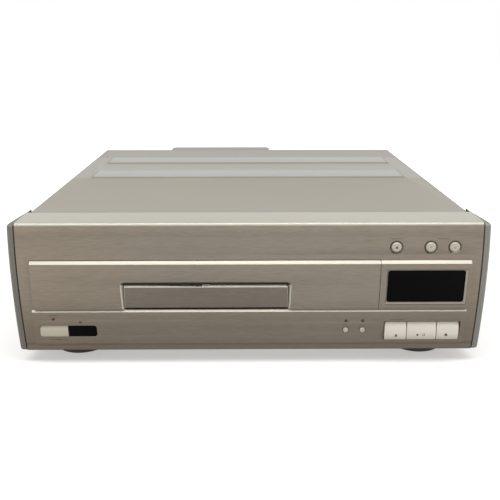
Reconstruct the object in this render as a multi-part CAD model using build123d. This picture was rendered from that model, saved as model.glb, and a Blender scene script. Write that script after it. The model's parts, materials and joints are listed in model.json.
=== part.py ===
from build123d import *
from math import acos, cos, hypot, pi, radians, sin, sqrt, tan
import os

os.makedirs("parts", exist_ok=True)

# Home disc player. Millimetres, +Z up, the front faces -Y and +X is on the right as seen from
# the front. The origin is the middle of the whole player, on the surface that it stands on.

# Case
case_top = 140.0
foot_height = 13.0
body_depth = 423.0
housing_depth = 27.0
housing_half = 73.0
panel_half = 213.5
cheek_thickness = 6.5
cheek_rear_thickness = 2.6
cheek_length = 55.0
cheek_round = 3.0
cover_inset = 2.0
strip_depth = 42.0
panel_wall = 3.0
fascia_proud = 3.0
sheet = 1.2
cover_corner = 4.0
pan_sheet = 1.5
pan_flange = 26.0
housing_wall = 2.0
seam = 0.3
top_edge_radius = 4.0

# Barrel shape of the front, two arcs that meet where the front stands furthest forward
forward_drop = 47.5
upper_radius = 300.0
lower_radius = 520.0

# Ribs pressed into the cover, by their distance behind the front
rib_inset = 23.5
rib_rise = 1.2
rib_slope = 1.2
front_rib_setback = 209.0
rear_rib_setback = 306.0
rib_width = 45.5

# Discs and drawers, all on one centre line
drawer_inset = 12.8
disc_front_margin = 21.5
large_disc_radius = 150.0
single_disc_radius = 100.0
small_disc_radius = 60.0
disc_clearance = 1.0
front_bevel = 2.6
front_disc_margin = 10.3
large_front_top_drop = 35.0
large_front_bottom_drop = 82.0
large_front_back = 6.0
notch_flare = 2.9
notch_side_gap = 0.5
notch_top_gap = 0.4
notch_corner = 2.0
small_front_half = 75.6
small_front_top_drop = 58.0
small_front_bottom_drop = 80.6
small_front_proud = 2.4
small_front_bevel = 1.8
nub_half = 3.0
nub_rise = 0.7
front_gap = 0.5

# Trays
tray_bottom = 59.5
tray_height = 17.5
tray_side_gap = 2.7
large_floor_drop = 7.0
single_step = 1.0
channel_floor = 2.0
channel_side_gap = 0.5
small_tray_height = 7.7
small_floor_drop = 4.5
small_tray_rear_margin = 4.0
runner_length = 100.0
runner_width = 15.0
turntable_slot_half = 27.0
pickup_slot_half = 56.0
slide_gap = 0.3
tray_rear_room = 34.5
slot_end_gap = 4.0

# Tray guides and the bridge over the disc
guide_base = 4.2
guide_wall = 5.5
guide_shelf = 8.0
guide_lip = 2.0
guide_lip_reach = 3.0
guide_leg = 10.0
guide_setback = 29.0
bridge_half_width = 14.0
bridge_sheet = 2.0
bridge_rise = 3.0

# Loading drive
gear_module = 1.5
gear_teeth = 28
pinion_teeth = 14
gear_width = 7.0
gear_lift = 2.7
tooth_addendum = 0.95
tooth_dedendum = 1.25
tooth_backlash = 0.14
pressure_angle = radians(20.0)
gear_setback = 58.5
pinion_angle = radians(30.0)
pin_radius = 3.0
running_gap = 0.06
belt_wheel_radius = 20.0
belt_wheel_width = 5.0
belt_groove = 1.8
belt_thickness = 1.4
motor_pulley_radius = 5.5
motor_radius = 12.0
motor_length = 24.0
motor_shaft_radius = 1.0
motor_offset_x = 23.0
motor_offset_y = 39.0

# Lifting deck with the spindle and the pickup that turns over
deck_bottom = 20.0
deck_sheet = 3.0
deck_lift = 12.0
deck_side_margin = 7.0
deck_lug = 21.0
deck_front_reach = 45.5
post_inset = 12.0
post_pin_radius = 3.0
post_base_radius = 6.0
spindle_motor_radius = 14.0
spindle_motor_height = 28.0
spindle_shaft_radius = 1.5
flange_radius = 19.5
flange_height = 3.0
flange_top = 60.0
large_hub_radius = 17.3
small_hub_radius = 7.4
hub_step = 2.0
clamp_gap = 0.7
large_disc_thickness = 2.6
puck_radius = 30.0
puck_height = 5.0
puck_neck_radius = 8.0
puck_head_radius = 12.0
puck_head = 2.5
puck_bore_gap = 0.8
plate_half = 50.0
plate_sheet = 3.0
pivot_rear_room = 33.5
pivot_height = 72.0
track_radius = 36.0
track_margin = 13.0
track_inner_margin = 9.0
track_pin_radius = 2.5
lower_arm_reach = 40.0
upper_arm_gap = 23.5
pivot_radius = 4.0
web_front = 12.0
cradle_gap = 1.0
cradle_cheek = 2.5
cradle_tube_radius = 7.0
cradle_back = 3.0
cradle_back_height = 30.0
carriage_half = 44.0
carriage_front = 6.0
carriage_rear = 26.0
carriage_lift = 7.0
carriage_height = 22.0
lens_radius = 3.2
lens_rise = 6.0
lens_seat = 4.0
lens_seat_gap = 1.2
inner_track_radius = 24.0
feed_module = 1.0
feed_teeth = 14
feed_width = 6.0
feed_offset = 36.0
feed_rack_height = 3.5

# Front: heights are given as drops below the flat top
bezel_inset = 10.1
window_left_margin = 6.4
window_right_margin = 5.0
window_top_drop = 43.9
window_bottom_drop = 75.2
window_corner = 2.5
window_sink = 0.8
window_lap = 3.0
tube_inset = 4.0
tube_thickness = 6.5
fascia_inset = 10.7
fascia_top_drop = 82.7
fascia_bottom_drop = 118.0
fascia_bevel = 2.0
board_setback = 15.5
board_thickness = 1.6
board_top_drop = 12.0
board_bottom_drop = 120.0
strip_top_drop = 90.0
boss_radius = 3.0
button_gap = 0.35
button_travel = 1.5
button_flange = 1.5
button_flange_reach = 1.4
button_proud = 1.2
stem_radius = 1.6
switch_half = 3.0
switch_height = 3.5
switch_gap = 0.4
round_button_drop = 23.0
round_button_radius = 4.9
round_dimple_radius = 6.3
round_dimple = 1.0
round_button_1_inset = 79.5
round_button_2_inset = 48.1
round_button_3_inset = 26.2
button_edge_radius = 2.2
dot_button_drop = 104.0
dot_button_radius = 2.5
dot_button_1_inset = 123.0
dot_button_2_inset = 107.2
dot_edge_radius = 1.1
lamp_radius = 1.2
dot_lamp_drop = 94.4
standby_lamp_inset = 30.0
standby_lamp_drop = 91.6
keys_inset = 86.1
open_key_width = 20.5
play_key_width = 27.5
stop_key_width = 20.7
key_gap = 0.6
key_top_drop = 96.2
key_bottom_drop = 114.0
key_proud = 2.4
pocket_gap = 1.1
pocket_corner = 1.0
power_inset = 16.7
power_width = 26.0
power_top_drop = 98.9
power_bottom_drop = 109.8
power_corner = 2.4
sensor_gap = 0.6
sensor_width = 26.2
sensor_sink = 0.4

# Feet, boards and sockets
foot_radius = 26.2
foot_taper = 1.2
foot_inset = 43.5
front_foot_setback = 50.5
rear_foot_inset = 48.0
pad_radius = 19.0
pad_proud = 0.6
pad_recess = 1.6
board_standoff = 5.5
standoff_radius = 3.0
board_deck_gap = 1.4
board_side_gap = 13.5
main_board_length = 167.0
main_board_rear_gap = 11.0
power_board_width = 74.5
power_board_length = 152.0
power_board_rear_gap = 111.0
component_pitch = 2.0
standoff_inset = 7.0
leg_notch_gap = 0.6
core_width = 64.0
core_length = 54.0
core_stack = 24.0
core_limb = 10.0
core_offset = 119.6
core_rear_gap = 61.0
core_lift = 7.5
coil_gap = 0.3
coil_rise = 6.0
coil_corner = 4.0
rear_inset = 1.9
jack_radius = 4.15
jack_bore = 1.65
jack_shell_wall = 0.7
jack_length = 9.0
jack_pitch_x = 20.0
jack_pitch_z = 20.0
jack_columns = 3
jack_housing_gap = 47.4
jack_low_z = 38.0
jack_block_margin = 9.0
jack_block_depth = 12.0
inlet_housing_gap = 46.6
inlet_z = 38.0
inlet_half_width = 12.0
inlet_half_height = 8.5
inlet_wall = 2.4
inlet_depth = 14.0
inlet_flange = 2.0
inlet_flange_reach = 2.0
inlet_pin_radius = 1.2
inlet_pin_pitch = 8.6
inlet_pin_length = 8.0
screw_head_radius = 4.0
screw_head = 1.6
screw_shank_radius = 1.5
screw_hole_gap = 0.3
screw_height = 30.0
front_screw_setback = 215.0
rear_screw_inset = 48.0

# Places worked out from the sizes above
total_depth = fascia_proud + body_depth + housing_depth
front_y = fascia_proud - total_depth / 2
rear_y = front_y + body_depth
housing_rear_y = rear_y + housing_depth
case_bottom = foot_height
cover_half = panel_half - cover_inset
strip_rear_y = front_y + strip_depth
cheek_rear_y = front_y + cheek_length
forward_z = case_top - forward_drop
large_front_half = large_disc_radius + front_disc_margin
drawer_x = large_front_half + drawer_inset - panel_half
disc_y = front_y + disc_front_margin + large_disc_radius
pan_top = case_bottom + pan_sheet
pan_half = cover_half - sheet - seam
drawer_back_y = front_y + large_front_back
tray_top = tray_bottom + tray_height
tray_rear_y = rear_y - tray_rear_room
tray_left_x = drawer_x - large_front_half + tray_side_gap
pivot_y = rear_y - pivot_rear_room
board_y = front_y + board_setback
rear_panel_y = rear_y - rear_inset - pan_sheet
foot_x = panel_half - foot_inset


def block(x0, x1, y0, y1, z0, z1):
    size = Box(x1 - x0, y1 - y0, z1 - z0)
    return Pos((x0 + x1) / 2, (y0 + y1) / 2, (z0 + z1) / 2) * size


def rod_x(y, z, x0, x1, radius):
    return Pos((x0 + x1) / 2, y, z) * Rot(0, 90, 0) * Cylinder(radius, x1 - x0)


def rod_y(x, z, y0, y1, radius):
    return Pos(x, (y0 + y1) / 2, z) * Rot(90, 0, 0) * Cylinder(radius, y1 - y0)


def rod_z(x, y, z0, z1, radius):
    return Pos(x, y, (z0 + z1) / 2) * Cylinder(radius, z1 - z0)


def side_prism(outline, x0, x1):
    # outline is drawn as seen from the right: Y across and Z up
    return Pos(x0, 0, 0) * extrude(Plane.YZ * outline, amount=x1 - x0)


def polygon(points):
    return make_face(Polyline(*points, close=True).edges())


def face_y(z, proud=0.0):
    # Y of the barrel front at height z, for a surface that stands proud of it
    radius = upper_radius if z >= forward_z else lower_radius
    return front_y + radius - sqrt((radius + proud) ** 2 - (z - forward_z) ** 2)


def barrel_face(z0, z1, proud, back_y):
    stops = [z0, forward_z, z1] if z0 < forward_z < z1 else [z0, z1]
    edges = []
    for low, high in zip(stops, stops[1:]):
        middle = (low + high) / 2
        start, through, end = [(face_y(z, proud), z) for z in (low, middle, high)]
        edges.append(ThreePointArc(start, through, end))
    corners = [(face_y(z1, proud), z1), (back_y, z1), (back_y, z0), (face_y(z0, proud), z0)]
    edges.extend(Polyline(*corners).edges())
    return make_face(edges)


def barrel_block(x0, x1, z0, z1, proud, back_y):
    return side_prism(barrel_face(z0, z1, proud, back_y), x0, x1)


def barrel_slab(x0, x1, z0, z1, proud, thickness):
    outer = barrel_block(x0, x1, z0, z1, proud, strip_rear_y)
    return outer - barrel_block(x0, x1, z0, z1, proud - thickness, strip_rear_y)


def front_edge(solid, group):
    # The front edge along X at the top (-1) or the bottom (0) of a front piece
    return solid.edges().filter_by(Axis.X).group_by(Axis.Z)[group].sort_by(Axis.Y)[0]


def rounded_block(x0, x1, y0, y1, z0, z1, radius):
    solid = block(x0, x1, y0, y1, z0, z1)
    return fillet(solid.edges().filter_by(Axis.Y), radius)


def row_of_keys():
    left = panel_half - keys_inset
    spans = []
    for width in (open_key_width, play_key_width, stop_key_width):
        spans.append((left, left + width))
        left += width + key_gap
    return spans


# Places of the front's features, measured from the ends of the panel and from the ground
large_front_top = case_top - large_front_top_drop
large_front_bottom = case_top - large_front_bottom_drop
large_front_left = drawer_x - large_front_half
large_front_right = drawer_x + large_front_half
bezel_left = large_front_right + front_gap
bezel_right = panel_half - bezel_inset
window_left = bezel_left + window_left_margin
window_right = bezel_right - window_right_margin
fascia_half = panel_half - fascia_inset
round_button_insets = (round_button_1_inset, round_button_2_inset, round_button_3_inset)
round_button_xs = [panel_half - inset for inset in round_button_insets]
dot_button_xs = [panel_half - dot_button_1_inset, panel_half - dot_button_2_inset]
power_left = power_inset - panel_half
fascia_top = case_top - fascia_top_drop
fascia_bottom = case_top - fascia_bottom_drop
window_top = case_top - window_top_drop
window_bottom = case_top - window_bottom_drop
key_top = case_top - key_top_drop
key_bottom = case_top - key_bottom_drop
power_top = case_top - power_top_drop
power_bottom = case_top - power_bottom_drop
sensor_left = power_left + power_width + sensor_gap
key_spans = row_of_keys()
power_centre = (power_left + power_width / 2, (power_top + power_bottom) / 2)
round_button_z = case_top - round_button_drop
dot_button_z = case_top - dot_button_drop
dot_lamp_z = case_top - dot_lamp_drop
lamp_centres = [(standby_lamp_inset - panel_half, case_top - standby_lamp_drop)]
lamp_centres += [(x, dot_lamp_z) for x in dot_button_xs]
through_y = (front_y - 4 * fascia_proud, board_y - panel_wall)


# Case

def make_front_panel():
    floor_y = front_y + guide_setback
    top = case_top - panel_wall
    outline = barrel_face(case_bottom, case_top, 0, strip_rear_y)
    corner = outline.vertices().group_by(Axis.Y)[-1].sort_by(Axis.X)[0]
    outline = fillet(corner, top_edge_radius)
    panel = side_prism(outline, -panel_half, panel_half)
    hollow_half = cover_half + seam
    back_y = strip_rear_y + seam
    panel -= barrel_block(-hollow_half, hollow_half, case_bottom + pan_sheet, top, -panel_wall, back_y)
    panel -= block(-hollow_half, hollow_half, floor_y, back_y, case_bottom - seam, top)
    for side in (-1, 1):
        inner, outer = sorted((side * hollow_half, side * panel_half))
        panel += block(inner, outer, strip_rear_y - seam, cheek_rear_y, case_bottom, case_top)
    # The opening that both drawers pass through
    panel -= block(large_front_left - front_gap, large_front_right + front_gap,
                   *through_y, large_front_bottom - front_gap, large_front_top + front_gap)
    # The way through to the display tube
    panel -= block(window_left + window_lap, window_right - window_lap,
                   *through_y, window_bottom + window_lap, window_top - window_lap)
    for x in round_button_xs:
        dimple_y = face_y(round_button_z) + round_dimple
        panel -= rod_y(x, round_button_z, through_y[0], dimple_y, round_dimple_radius)
    for x, z in boss_places():
        panel += rod_y(x, z, face_y(z) + panel_wall / 2, board_y, boss_radius)
    return cut_front_holes(panel)


def boss_places():
    # Posts that carry the front board
    lower_z = fascia_bottom + 2 * boss_radius
    upper_z = case_top - board_top_drop - 2 * boss_radius
    right_x = bezel_right - boss_radius
    return [(-fascia_half + boss_radius, lower_z), (0.0, lower_z), (right_x, lower_z), (right_x, upper_z)]


def cut_front_holes(solid):
    # Holes that pass through both the panel and the raised fascia
    for x in round_button_xs:
        solid -= rod_y(x, round_button_z, *through_y, round_button_radius + button_gap)
    for x in dot_button_xs:
        solid -= rod_y(x, dot_button_z, *through_y, dot_button_radius + button_gap)
    for x, z in lamp_centres:
        solid -= rod_y(x, z, *through_y, lamp_radius + seam)
    solid -= block(key_spans[0][0] - button_gap, key_spans[-1][1] + button_gap,
                   *through_y, key_bottom - button_gap, key_top + button_gap)
    # The power button and the remote sensor's window share one opening
    return solid - rounded_block(power_left - button_gap, sensor_left + sensor_width + seam, *through_y,
                                 power_bottom - button_gap, power_top + button_gap, power_corner + button_gap)


def make_cheek(side):
    inner = panel_half
    outer = panel_half + cheek_thickness
    rear = panel_half + cheek_rear_thickness
    nose_y = front_y - 2 * fascia_proud
    shoulder_y = front_y + 2 * cheek_thickness
    plan = [(inner, nose_y), (outer, nose_y), (outer, shoulder_y), (rear, cheek_rear_y)]
    plan.append((inner, cheek_rear_y))
    blank = Pos(0, 0, case_bottom) * extrude(polygon(plan), amount=case_top - case_bottom)
    outline = barrel_face(case_bottom, case_top - sheet, 0, cheek_rear_y)
    corner = outline.vertices().group_by(Axis.Y)[-1].sort_by(Axis.X)[0]
    outline = fillet(corner, top_edge_radius)
    cheek = blank & side_prism(outline, inner, outer)
    outside = cheek.edges().filter_by(lambda edge: edge.center().X > (inner + rear) / 2)
    shoulder = outside.filter_by(Axis.Z)
    cheek = fillet([edge for edge in outside if edge not in shoulder], cheek_round)
    return cheek if side > 0 else mirror(cheek, Plane.YZ)


def rib_pad(start, rise):
    # A long pad with sloped sides, whose top stands rise above the flat
    y0 = front_y + start
    slope = rib_slope + rise
    rib_half = cover_half - rib_inset
    low = Pos(0, y0 + rib_width / 2, case_top) * Rectangle(2 * rib_half, rib_width)
    high = Pos(0, y0 + rib_width / 2, case_top + rise)
    high = high * Rectangle(2 * (rib_half - slope), rib_width - 2 * slope)
    return loft([low.face(), high.face()])


def make_top_cover():
    y0 = strip_rear_y + seam
    outer = block(-cover_half, cover_half, y0, rear_y, case_bottom, case_top)
    outer = fillet(outer.edges().filter_by(Axis.Y).group_by(Axis.Z)[-1], cover_corner)
    inner_half = cover_half - sheet
    inner = block(-inner_half, inner_half, y0 - seam, rear_y + seam, case_bottom - seam, case_top - sheet)
    inner = fillet(inner.edges().filter_by(Axis.Y).group_by(Axis.Z)[-1], cover_corner - sheet)
    cover = outer - inner
    for start in (front_rib_setback, rear_rib_setback):
        pad = rib_pad(start, rib_rise)
        cover = cover + pad - Pos(0, 0, -sheet) * pad
    for side in (-1, 1):
        for y in screw_ys():
            x0, x1 = sorted((side * (inner_half - seam), side * (cover_half + seam)))
            cover -= rod_x(y, screw_height, x0, x1, screw_shank_radius + screw_hole_gap)
    return cover


def screw_ys():
    return [front_y + front_screw_setback, rear_y - rear_screw_inset]


def make_case_screws():
    screws = []
    reach = cover_half - pan_half + pan_sheet + screw_head
    for side in (-1, 1):
        for y in screw_ys():
            shank_end = side * (cover_half - reach)
            x0, x1 = sorted((side * cover_half, shank_end))
            shank = rod_x(y, screw_height, x0, x1, screw_shank_radius)
            x0, x1 = sorted((side * cover_half, side * (cover_half + screw_head)))
            head = rod_x(y, screw_height, x0, x1, screw_head_radius)
            x0, x1 = sorted((side * (cover_half + screw_head / 2), side * (cover_half + 2 * screw_head)))
            slot_half = screw_shank_radius / 3
            slot = block(x0, x1, y - screw_head_radius, y + screw_head_radius,
                         screw_height - slot_half, screw_height + slot_half)
            screws.append(shank + head - slot)
    return screws


def make_chassis_pan():
    y0 = front_y + guide_setback + seam
    pan = block(-pan_half, pan_half, y0, rear_panel_y, case_bottom, pan_top)
    for side in (-1, 1):
        x0, x1 = sorted((side * pan_half, side * (pan_half - pan_sheet)))
        pan += block(x0, x1, y0 + cheek_length, rear_panel_y, case_bottom, case_bottom + pan_flange)
        for y in screw_ys():
            hole = screw_shank_radius + running_gap
            pan -= rod_x(y, screw_height, x0 - seam, x1 + seam, hole)
    for x, y in standoff_places(*main_board_edges()) + standoff_places(*power_board_edges()):
        pan += rod_z(x, y, pan_top - pan_sheet / 2, pan_top + board_standoff, standoff_radius)
    return pan


def make_rear_panel():
    inside = cover_half - sheet - seam
    top = case_top - sheet - seam
    panel = block(-inside, inside, rear_panel_y, rear_panel_y + pan_sheet, case_bottom, top)
    corner = panel.edges().filter_by(Axis.Y).group_by(Axis.Z)[-1]
    panel = fillet(corner, cover_corner)
    housing_inside = housing_half - housing_wall
    panel -= block(drawer_x - housing_inside, drawer_x + housing_inside,
                   rear_panel_y - seam, rear_y, pan_top, top - 2 * housing_wall)
    x0, x1, z0, z1 = jack_block_window()
    panel -= block(x0 - seam, x1 + seam, rear_panel_y - seam, rear_y, z0 - seam, z1 + seam)
    panel -= block(inlet_x - inlet_half_width - seam, inlet_x + inlet_half_width + seam, rear_panel_y - seam,
                   rear_y, inlet_z - inlet_half_height - seam, inlet_z + inlet_half_height + seam)
    return panel


def make_rear_housing():
    panel_back = rear_panel_y + pan_sheet
    x0, x1 = drawer_x - housing_half, drawer_x + housing_half
    flange_top = case_top - sheet - seam
    flange = block(x0, x1, panel_back, rear_y + seam + housing_wall, pan_top, flange_top)
    shell = block(x0, x1, rear_y + seam, housing_rear_y, pan_top, case_top)
    shell = chamfer(shell.edges().filter_by(Axis.Z).group_by(Axis.Y)[-1], 2 * housing_wall)
    inside = block(x0 + housing_wall, x1 - housing_wall, panel_back - seam, housing_rear_y - housing_wall,
                   pan_top + housing_wall, flange_top - housing_wall)
    inside = chamfer(inside.edges().filter_by(Axis.Z).group_by(Axis.Y)[-1], 2 * housing_wall)
    return flange + shell - inside


def foot_centres():
    ys = (front_y + front_foot_setback, rear_y - rear_foot_inset)
    return [(side * foot_x, y) for y in ys for side in (-1, 1)]


def make_feet():
    feet = []
    for x, y in foot_centres():
        foot = rod_z(x, y, pad_proud, case_bottom, foot_radius)
        foot = chamfer(foot.edges().group_by(Axis.Z)[0], foot_taper)
        feet.append(foot - rod_z(x, y, 0, pad_proud + pad_recess, pad_radius + running_gap))
    return feet


def make_foot_pads():
    return [rod_z(x, y, 0, pad_proud + pad_recess, pad_radius) for x, y in foot_centres()]


# Front pieces

def make_display_bezel():
    bezel = barrel_slab(bezel_left, bezel_right, large_front_bottom, large_front_top,
                        fascia_proud, fascia_proud)
    bezel = chamfer(front_edge(bezel, -1), front_bevel)
    return bezel - rounded_block(window_left, window_right, *through_y,
                                 window_bottom, window_top, window_corner)


def make_display_window():
    proud = fascia_proud - window_sink
    gap = seam / 2
    window = barrel_slab(window_left + gap, window_right - gap, window_bottom + gap, window_top - gap,
                         proud, proud)
    return window & rounded_block(window_left + gap, window_right - gap, *through_y,
                                  window_bottom + gap, window_top - gap, window_corner)


def make_display_tube():
    x0, x1 = window_left + tube_inset, window_right - tube_inset
    tube = block(x0, x1, board_y - tube_thickness, board_y,
                 window_bottom + tube_inset, window_top - tube_inset)
    return chamfer(tube.edges().group_by(Axis.Y)[0], seam)


def make_lower_fascia():
    slab = barrel_slab(-fascia_half, fascia_half, fascia_bottom, fascia_top, fascia_proud, fascia_proud)
    slab = chamfer(front_edge(slab, -1), fascia_bevel)
    # The long keys stand in a pocket that is wider than their hole through the panel
    pocket = rounded_block(key_spans[0][0] - pocket_gap, key_spans[-1][1] + pocket_gap, *through_y,
                           key_bottom - button_gap, key_top + pocket_gap, pocket_corner)
    return cut_front_holes(slab) - pocket


def make_remote_window():
    gap = seam / 2
    x0, x1 = sensor_left + gap, sensor_left + sensor_width - gap
    proud = fascia_proud - sensor_sink
    window = barrel_slab(x0, x1, power_bottom, power_top, proud, proud + panel_wall)
    return window & rounded_block(x0 - sensor_width, x1, *through_y, power_bottom, power_top, power_corner)


def make_indicator_lamps():
    lamps = []
    for x, z in lamp_centres:
        lamp = rod_y(x, z, face_y(z) - fascia_proud - seam, board_y, lamp_radius)
        lamps.append(fillet(lamp.edges().group_by(Axis.Y)[0], lamp_radius / 2))
    return lamps


def make_front_board():
    left, right = -fascia_half, bezel_right
    back = board_y + board_thickness
    board_bottom = case_top - board_bottom_drop
    strip = block(left, right, board_y, back, board_bottom, case_top - strip_top_drop)
    column_left = bezel_left + slide_gap
    column = block(column_left, right, board_y, back, board_bottom, case_top - board_top_drop)
    upper_left = round_button_xs[0] - 2 * switch_half
    upper = block(upper_left, right, board_y, back, large_front_top + front_gap, case_top - board_top_drop)
    return strip + column + upper


def pressed_places():
    places = [(x, round_button_z) for x in round_button_xs]
    places += [(x, dot_button_z) for x in dot_button_xs]
    places += [((x0 + x1) / 2, (key_top + key_bottom) / 2) for x0, x1 in key_spans]
    return places + [power_centre]


def make_switches():
    switches = []
    for x, z in pressed_places():
        body = block(x - switch_half, x + switch_half, board_y - switch_height, board_y,
                     z - switch_half, z + switch_half)
        switches.append(body + rod_y(x, z, board_y - switch_height - seam, board_y, stem_radius))
    return switches


def flange_seat(z_low, z_high):
    # Where the flange of a button meets the inside of the barrel wall
    return max(face_y(z_low), face_y(z_high)) + panel_wall + seam


def finish_button(cap, x, z, flange):
    stem_end = board_y - switch_height - seam - switch_gap - button_travel
    stem = rod_y(x, z, flange.bounding_box().min.Y, stem_end, stem_radius)
    return cap + flange + stem


def make_round_button(x, z, radius, edge_radius, panel_proud):
    reach = radius + button_flange_reach
    seat = flange_seat(z - reach, z + reach)
    cap = rod_y(x, z, face_y(z) - panel_proud - button_proud, seat + button_flange, radius)
    cap = fillet(cap.edges().group_by(Axis.Y)[0], edge_radius)
    flange = rod_y(x, z, seat, seat + button_flange, reach)
    return finish_button(cap, x, z, flange)


def make_key(x0, x1, z0, z1, proud, slope):
    reach = button_flange_reach
    seat = flange_seat(z0 - reach, z1 + reach)
    back = seat + button_flange
    low_y = face_y(z0) - fascia_proud - proud
    high_y = face_y(z1) - fascia_proud - proud + slope
    middle = ((low_y + high_y) / 2 - slope / 4, (z0 + z1) / 2)
    face = ThreePointArc((low_y, z0 + slope / 2), middle, (high_y, z1))
    sides = Polyline((high_y, z1), (back, z1), (back, z0), (low_y + slope / 4, z0), (low_y, z0 + slope / 2))
    cap = side_prism(make_face([face, *sides.edges()]), x0, x1)
    flange = block(x0, x1, seat, back, z0 - reach, z1 + reach)
    return finish_button(cap, (x0 + x1) / 2, (z0 + z1) / 2, flange)


def make_power_button():
    # Its left end is round, and its right end lies against the sensor's window
    right = power_left + power_width
    button = make_key(power_left, right, power_bottom, power_top, button_proud, fascia_bevel)
    seat = flange_seat(power_bottom - button_flange_reach, power_top + button_flange_reach)
    end = power_left + power_corner
    corners = block(power_left, end, through_y[0], seat, power_bottom, power_top)
    corners -= rounded_block(power_left, right, *through_y, power_bottom, power_top, power_corner)
    return button - corners


# Drawers and trays

def make_large_front():
    front = barrel_block(large_front_left, large_front_right, large_front_bottom, large_front_top,
                         fascia_proud, drawer_back_y)
    front = chamfer(front_edge(front, -1), front_bevel)
    return front - make_notch()


def make_notch():
    # The opening for the small drawer, with its front edges flared outwards
    half = small_front_half + notch_side_gap
    top = case_top - small_front_top_drop + notch_top_gap
    depth_below = 4 * notch_flare
    bottom = large_front_bottom - depth_below
    notch = rounded_block(drawer_x - half, drawer_x + half, *through_y, bottom, top, notch_corner)
    mouth_height = top - bottom + 2 * notch_flare
    mouth = RectangleRounded(2 * (half + notch_flare), mouth_height, notch_corner + notch_flare)
    mouth_at = Pos(drawer_x, front_y - fascia_proud, (top + bottom) / 2) * Rot(-90, 0, 0)
    flare = mouth_at * extrude(mouth, amount=notch_flare, taper=45)
    return notch + flare


def make_small_front():
    x0, x1 = drawer_x - small_front_half, drawer_x + small_front_half
    top = case_top - small_front_top_drop
    bottom = case_top - small_front_bottom_drop
    front = barrel_block(x0, x1, bottom, top, small_front_proud, drawer_back_y)
    front = chamfer(front_edge(front, -1), small_front_bevel)
    corners = front.edges().filter_by(Axis.Y).group_by(Axis.Z)[-1]
    front = fillet(corners, notch_corner - notch_side_gap)
    nub_back = front_y - fascia_proud + notch_flare - nub_rise
    nub_front = front_y - small_front_proud + small_front_bevel / 3
    nub = block(drawer_x - nub_half, drawer_x + nub_half, nub_front, nub_back,
                top - small_front_bevel, top + nub_rise)
    return front + fillet(nub.edges().filter_by(Axis.X).group_by(Axis.Z)[-1], nub_rise / 2)


def small_tray_edges():
    half = small_front_half
    return drawer_x - half, drawer_x + half


def make_large_tray():
    rack_root = large_rack_pitch_x - tooth_dedendum * gear_module
    tray = block(tray_left_x, rack_root, drawer_back_y, tray_rear_y, tray_bottom, tray_top)
    tray += make_tray_rack(rack_root)
    floor_z = tray_top - large_floor_drop
    tray -= rod_z(drawer_x, disc_y, floor_z, tray_top + 1, large_disc_radius + disc_clearance)
    tray -= rod_z(drawer_x, disc_y, floor_z - single_step, tray_top + 1, single_disc_radius + disc_clearance)
    x0, x1 = small_tray_edges()
    channel = block(x0 - channel_side_gap, x1 + channel_side_gap, drawer_back_y - 1, tray_rear_y + 1,
                    tray_bottom + channel_floor, tray_top + 1)
    slot_front = disc_y - lower_arm_reach - slot_end_gap
    slot = block(drawer_x - pickup_slot_half, drawer_x + pickup_slot_half, slot_front, tray_rear_y + 1,
                 tray_bottom - 1, tray_top + 1)
    return tray - channel - slot


def small_tray_bottom():
    return tray_bottom + channel_floor + slide_gap


def make_small_tray():
    x0, x1 = small_tray_edges()
    bottom = small_tray_bottom()
    top = bottom + small_tray_height
    body_rear = disc_y + small_disc_radius + small_tray_rear_margin
    tray = block(x0, x1, drawer_back_y, body_rear, bottom, top)
    for edge in (x0, x1 - runner_width):
        tray += block(edge, edge + runner_width, body_rear, body_rear + runner_length, bottom, top)
    recess = rod_z(drawer_x, disc_y, top - small_floor_drop, top + 1, small_disc_radius + disc_clearance / 2)
    half = turntable_slot_half
    slot = rod_z(drawer_x, disc_y, bottom - 1, top + 1, half)
    slot += block(drawer_x - half, drawer_x + half, disc_y, body_rear + 1, bottom - 1, top + 1)
    return tray - recess - slot


# Gear teeth

def involute(angle):
    return tan(angle) - angle


def gear_outline(module, teeth, tooth_angle):
    # One tooth is centred on tooth_angle, in radians
    pitch = module * teeth / 2
    base = pitch * cos(pressure_angle)
    root = pitch - tooth_dedendum * module
    tip = pitch + tooth_addendum * module
    start = max(base, root)
    half_at_pitch = pi / (2 * teeth) - tooth_backlash / (4 * pitch)
    flank = []
    for step in range(6):
        radius = start + (tip - start) * step / 5
        turn = involute(pressure_angle) - involute(acos(min(1.0, base / radius)))
        flank.append((radius, half_at_pitch + turn))
    if root < base:
        flank.insert(0, (root, flank[0][1]))
    points = []
    for tooth in range(teeth):
        centre = tooth_angle + 2 * pi * tooth / teeth
        for radius, half in flank:
            points.append((radius * cos(centre - half), radius * sin(centre - half)))
        for radius, half in reversed(flank):
            points.append((radius * cos(centre + half), radius * sin(centre + half)))
    return polygon(points)


def rack_outlines(module, length):
    # Teeth along the first axis from a gap at zero, standing up from the root line
    pitch = pi * module
    slope = tan(pressure_angle)
    root = tooth_dedendum * module
    tip = tooth_addendum * module
    half = pitch / 4 - tooth_backlash / 4
    outlines = []
    for index in range(int(length // pitch)):
        centre = pitch * (index + 0.5)
        base_half = half + root * slope
        tip_half = half - tip * slope
        outlines.append([(centre - base_half, 0), (centre - tip_half, root + tip),
                         (centre + tip_half, root + tip), (centre + base_half, 0)])
    return outlines


def spur_gear(module, teeth, tooth_angle, width, bore):
    gear = extrude(gear_outline(module, teeth, tooth_angle), amount=width)
    return gear - Cylinder(bore, 3 * width)


# Loading drive: a gear runs on the rack along the right side of the large tray

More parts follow.
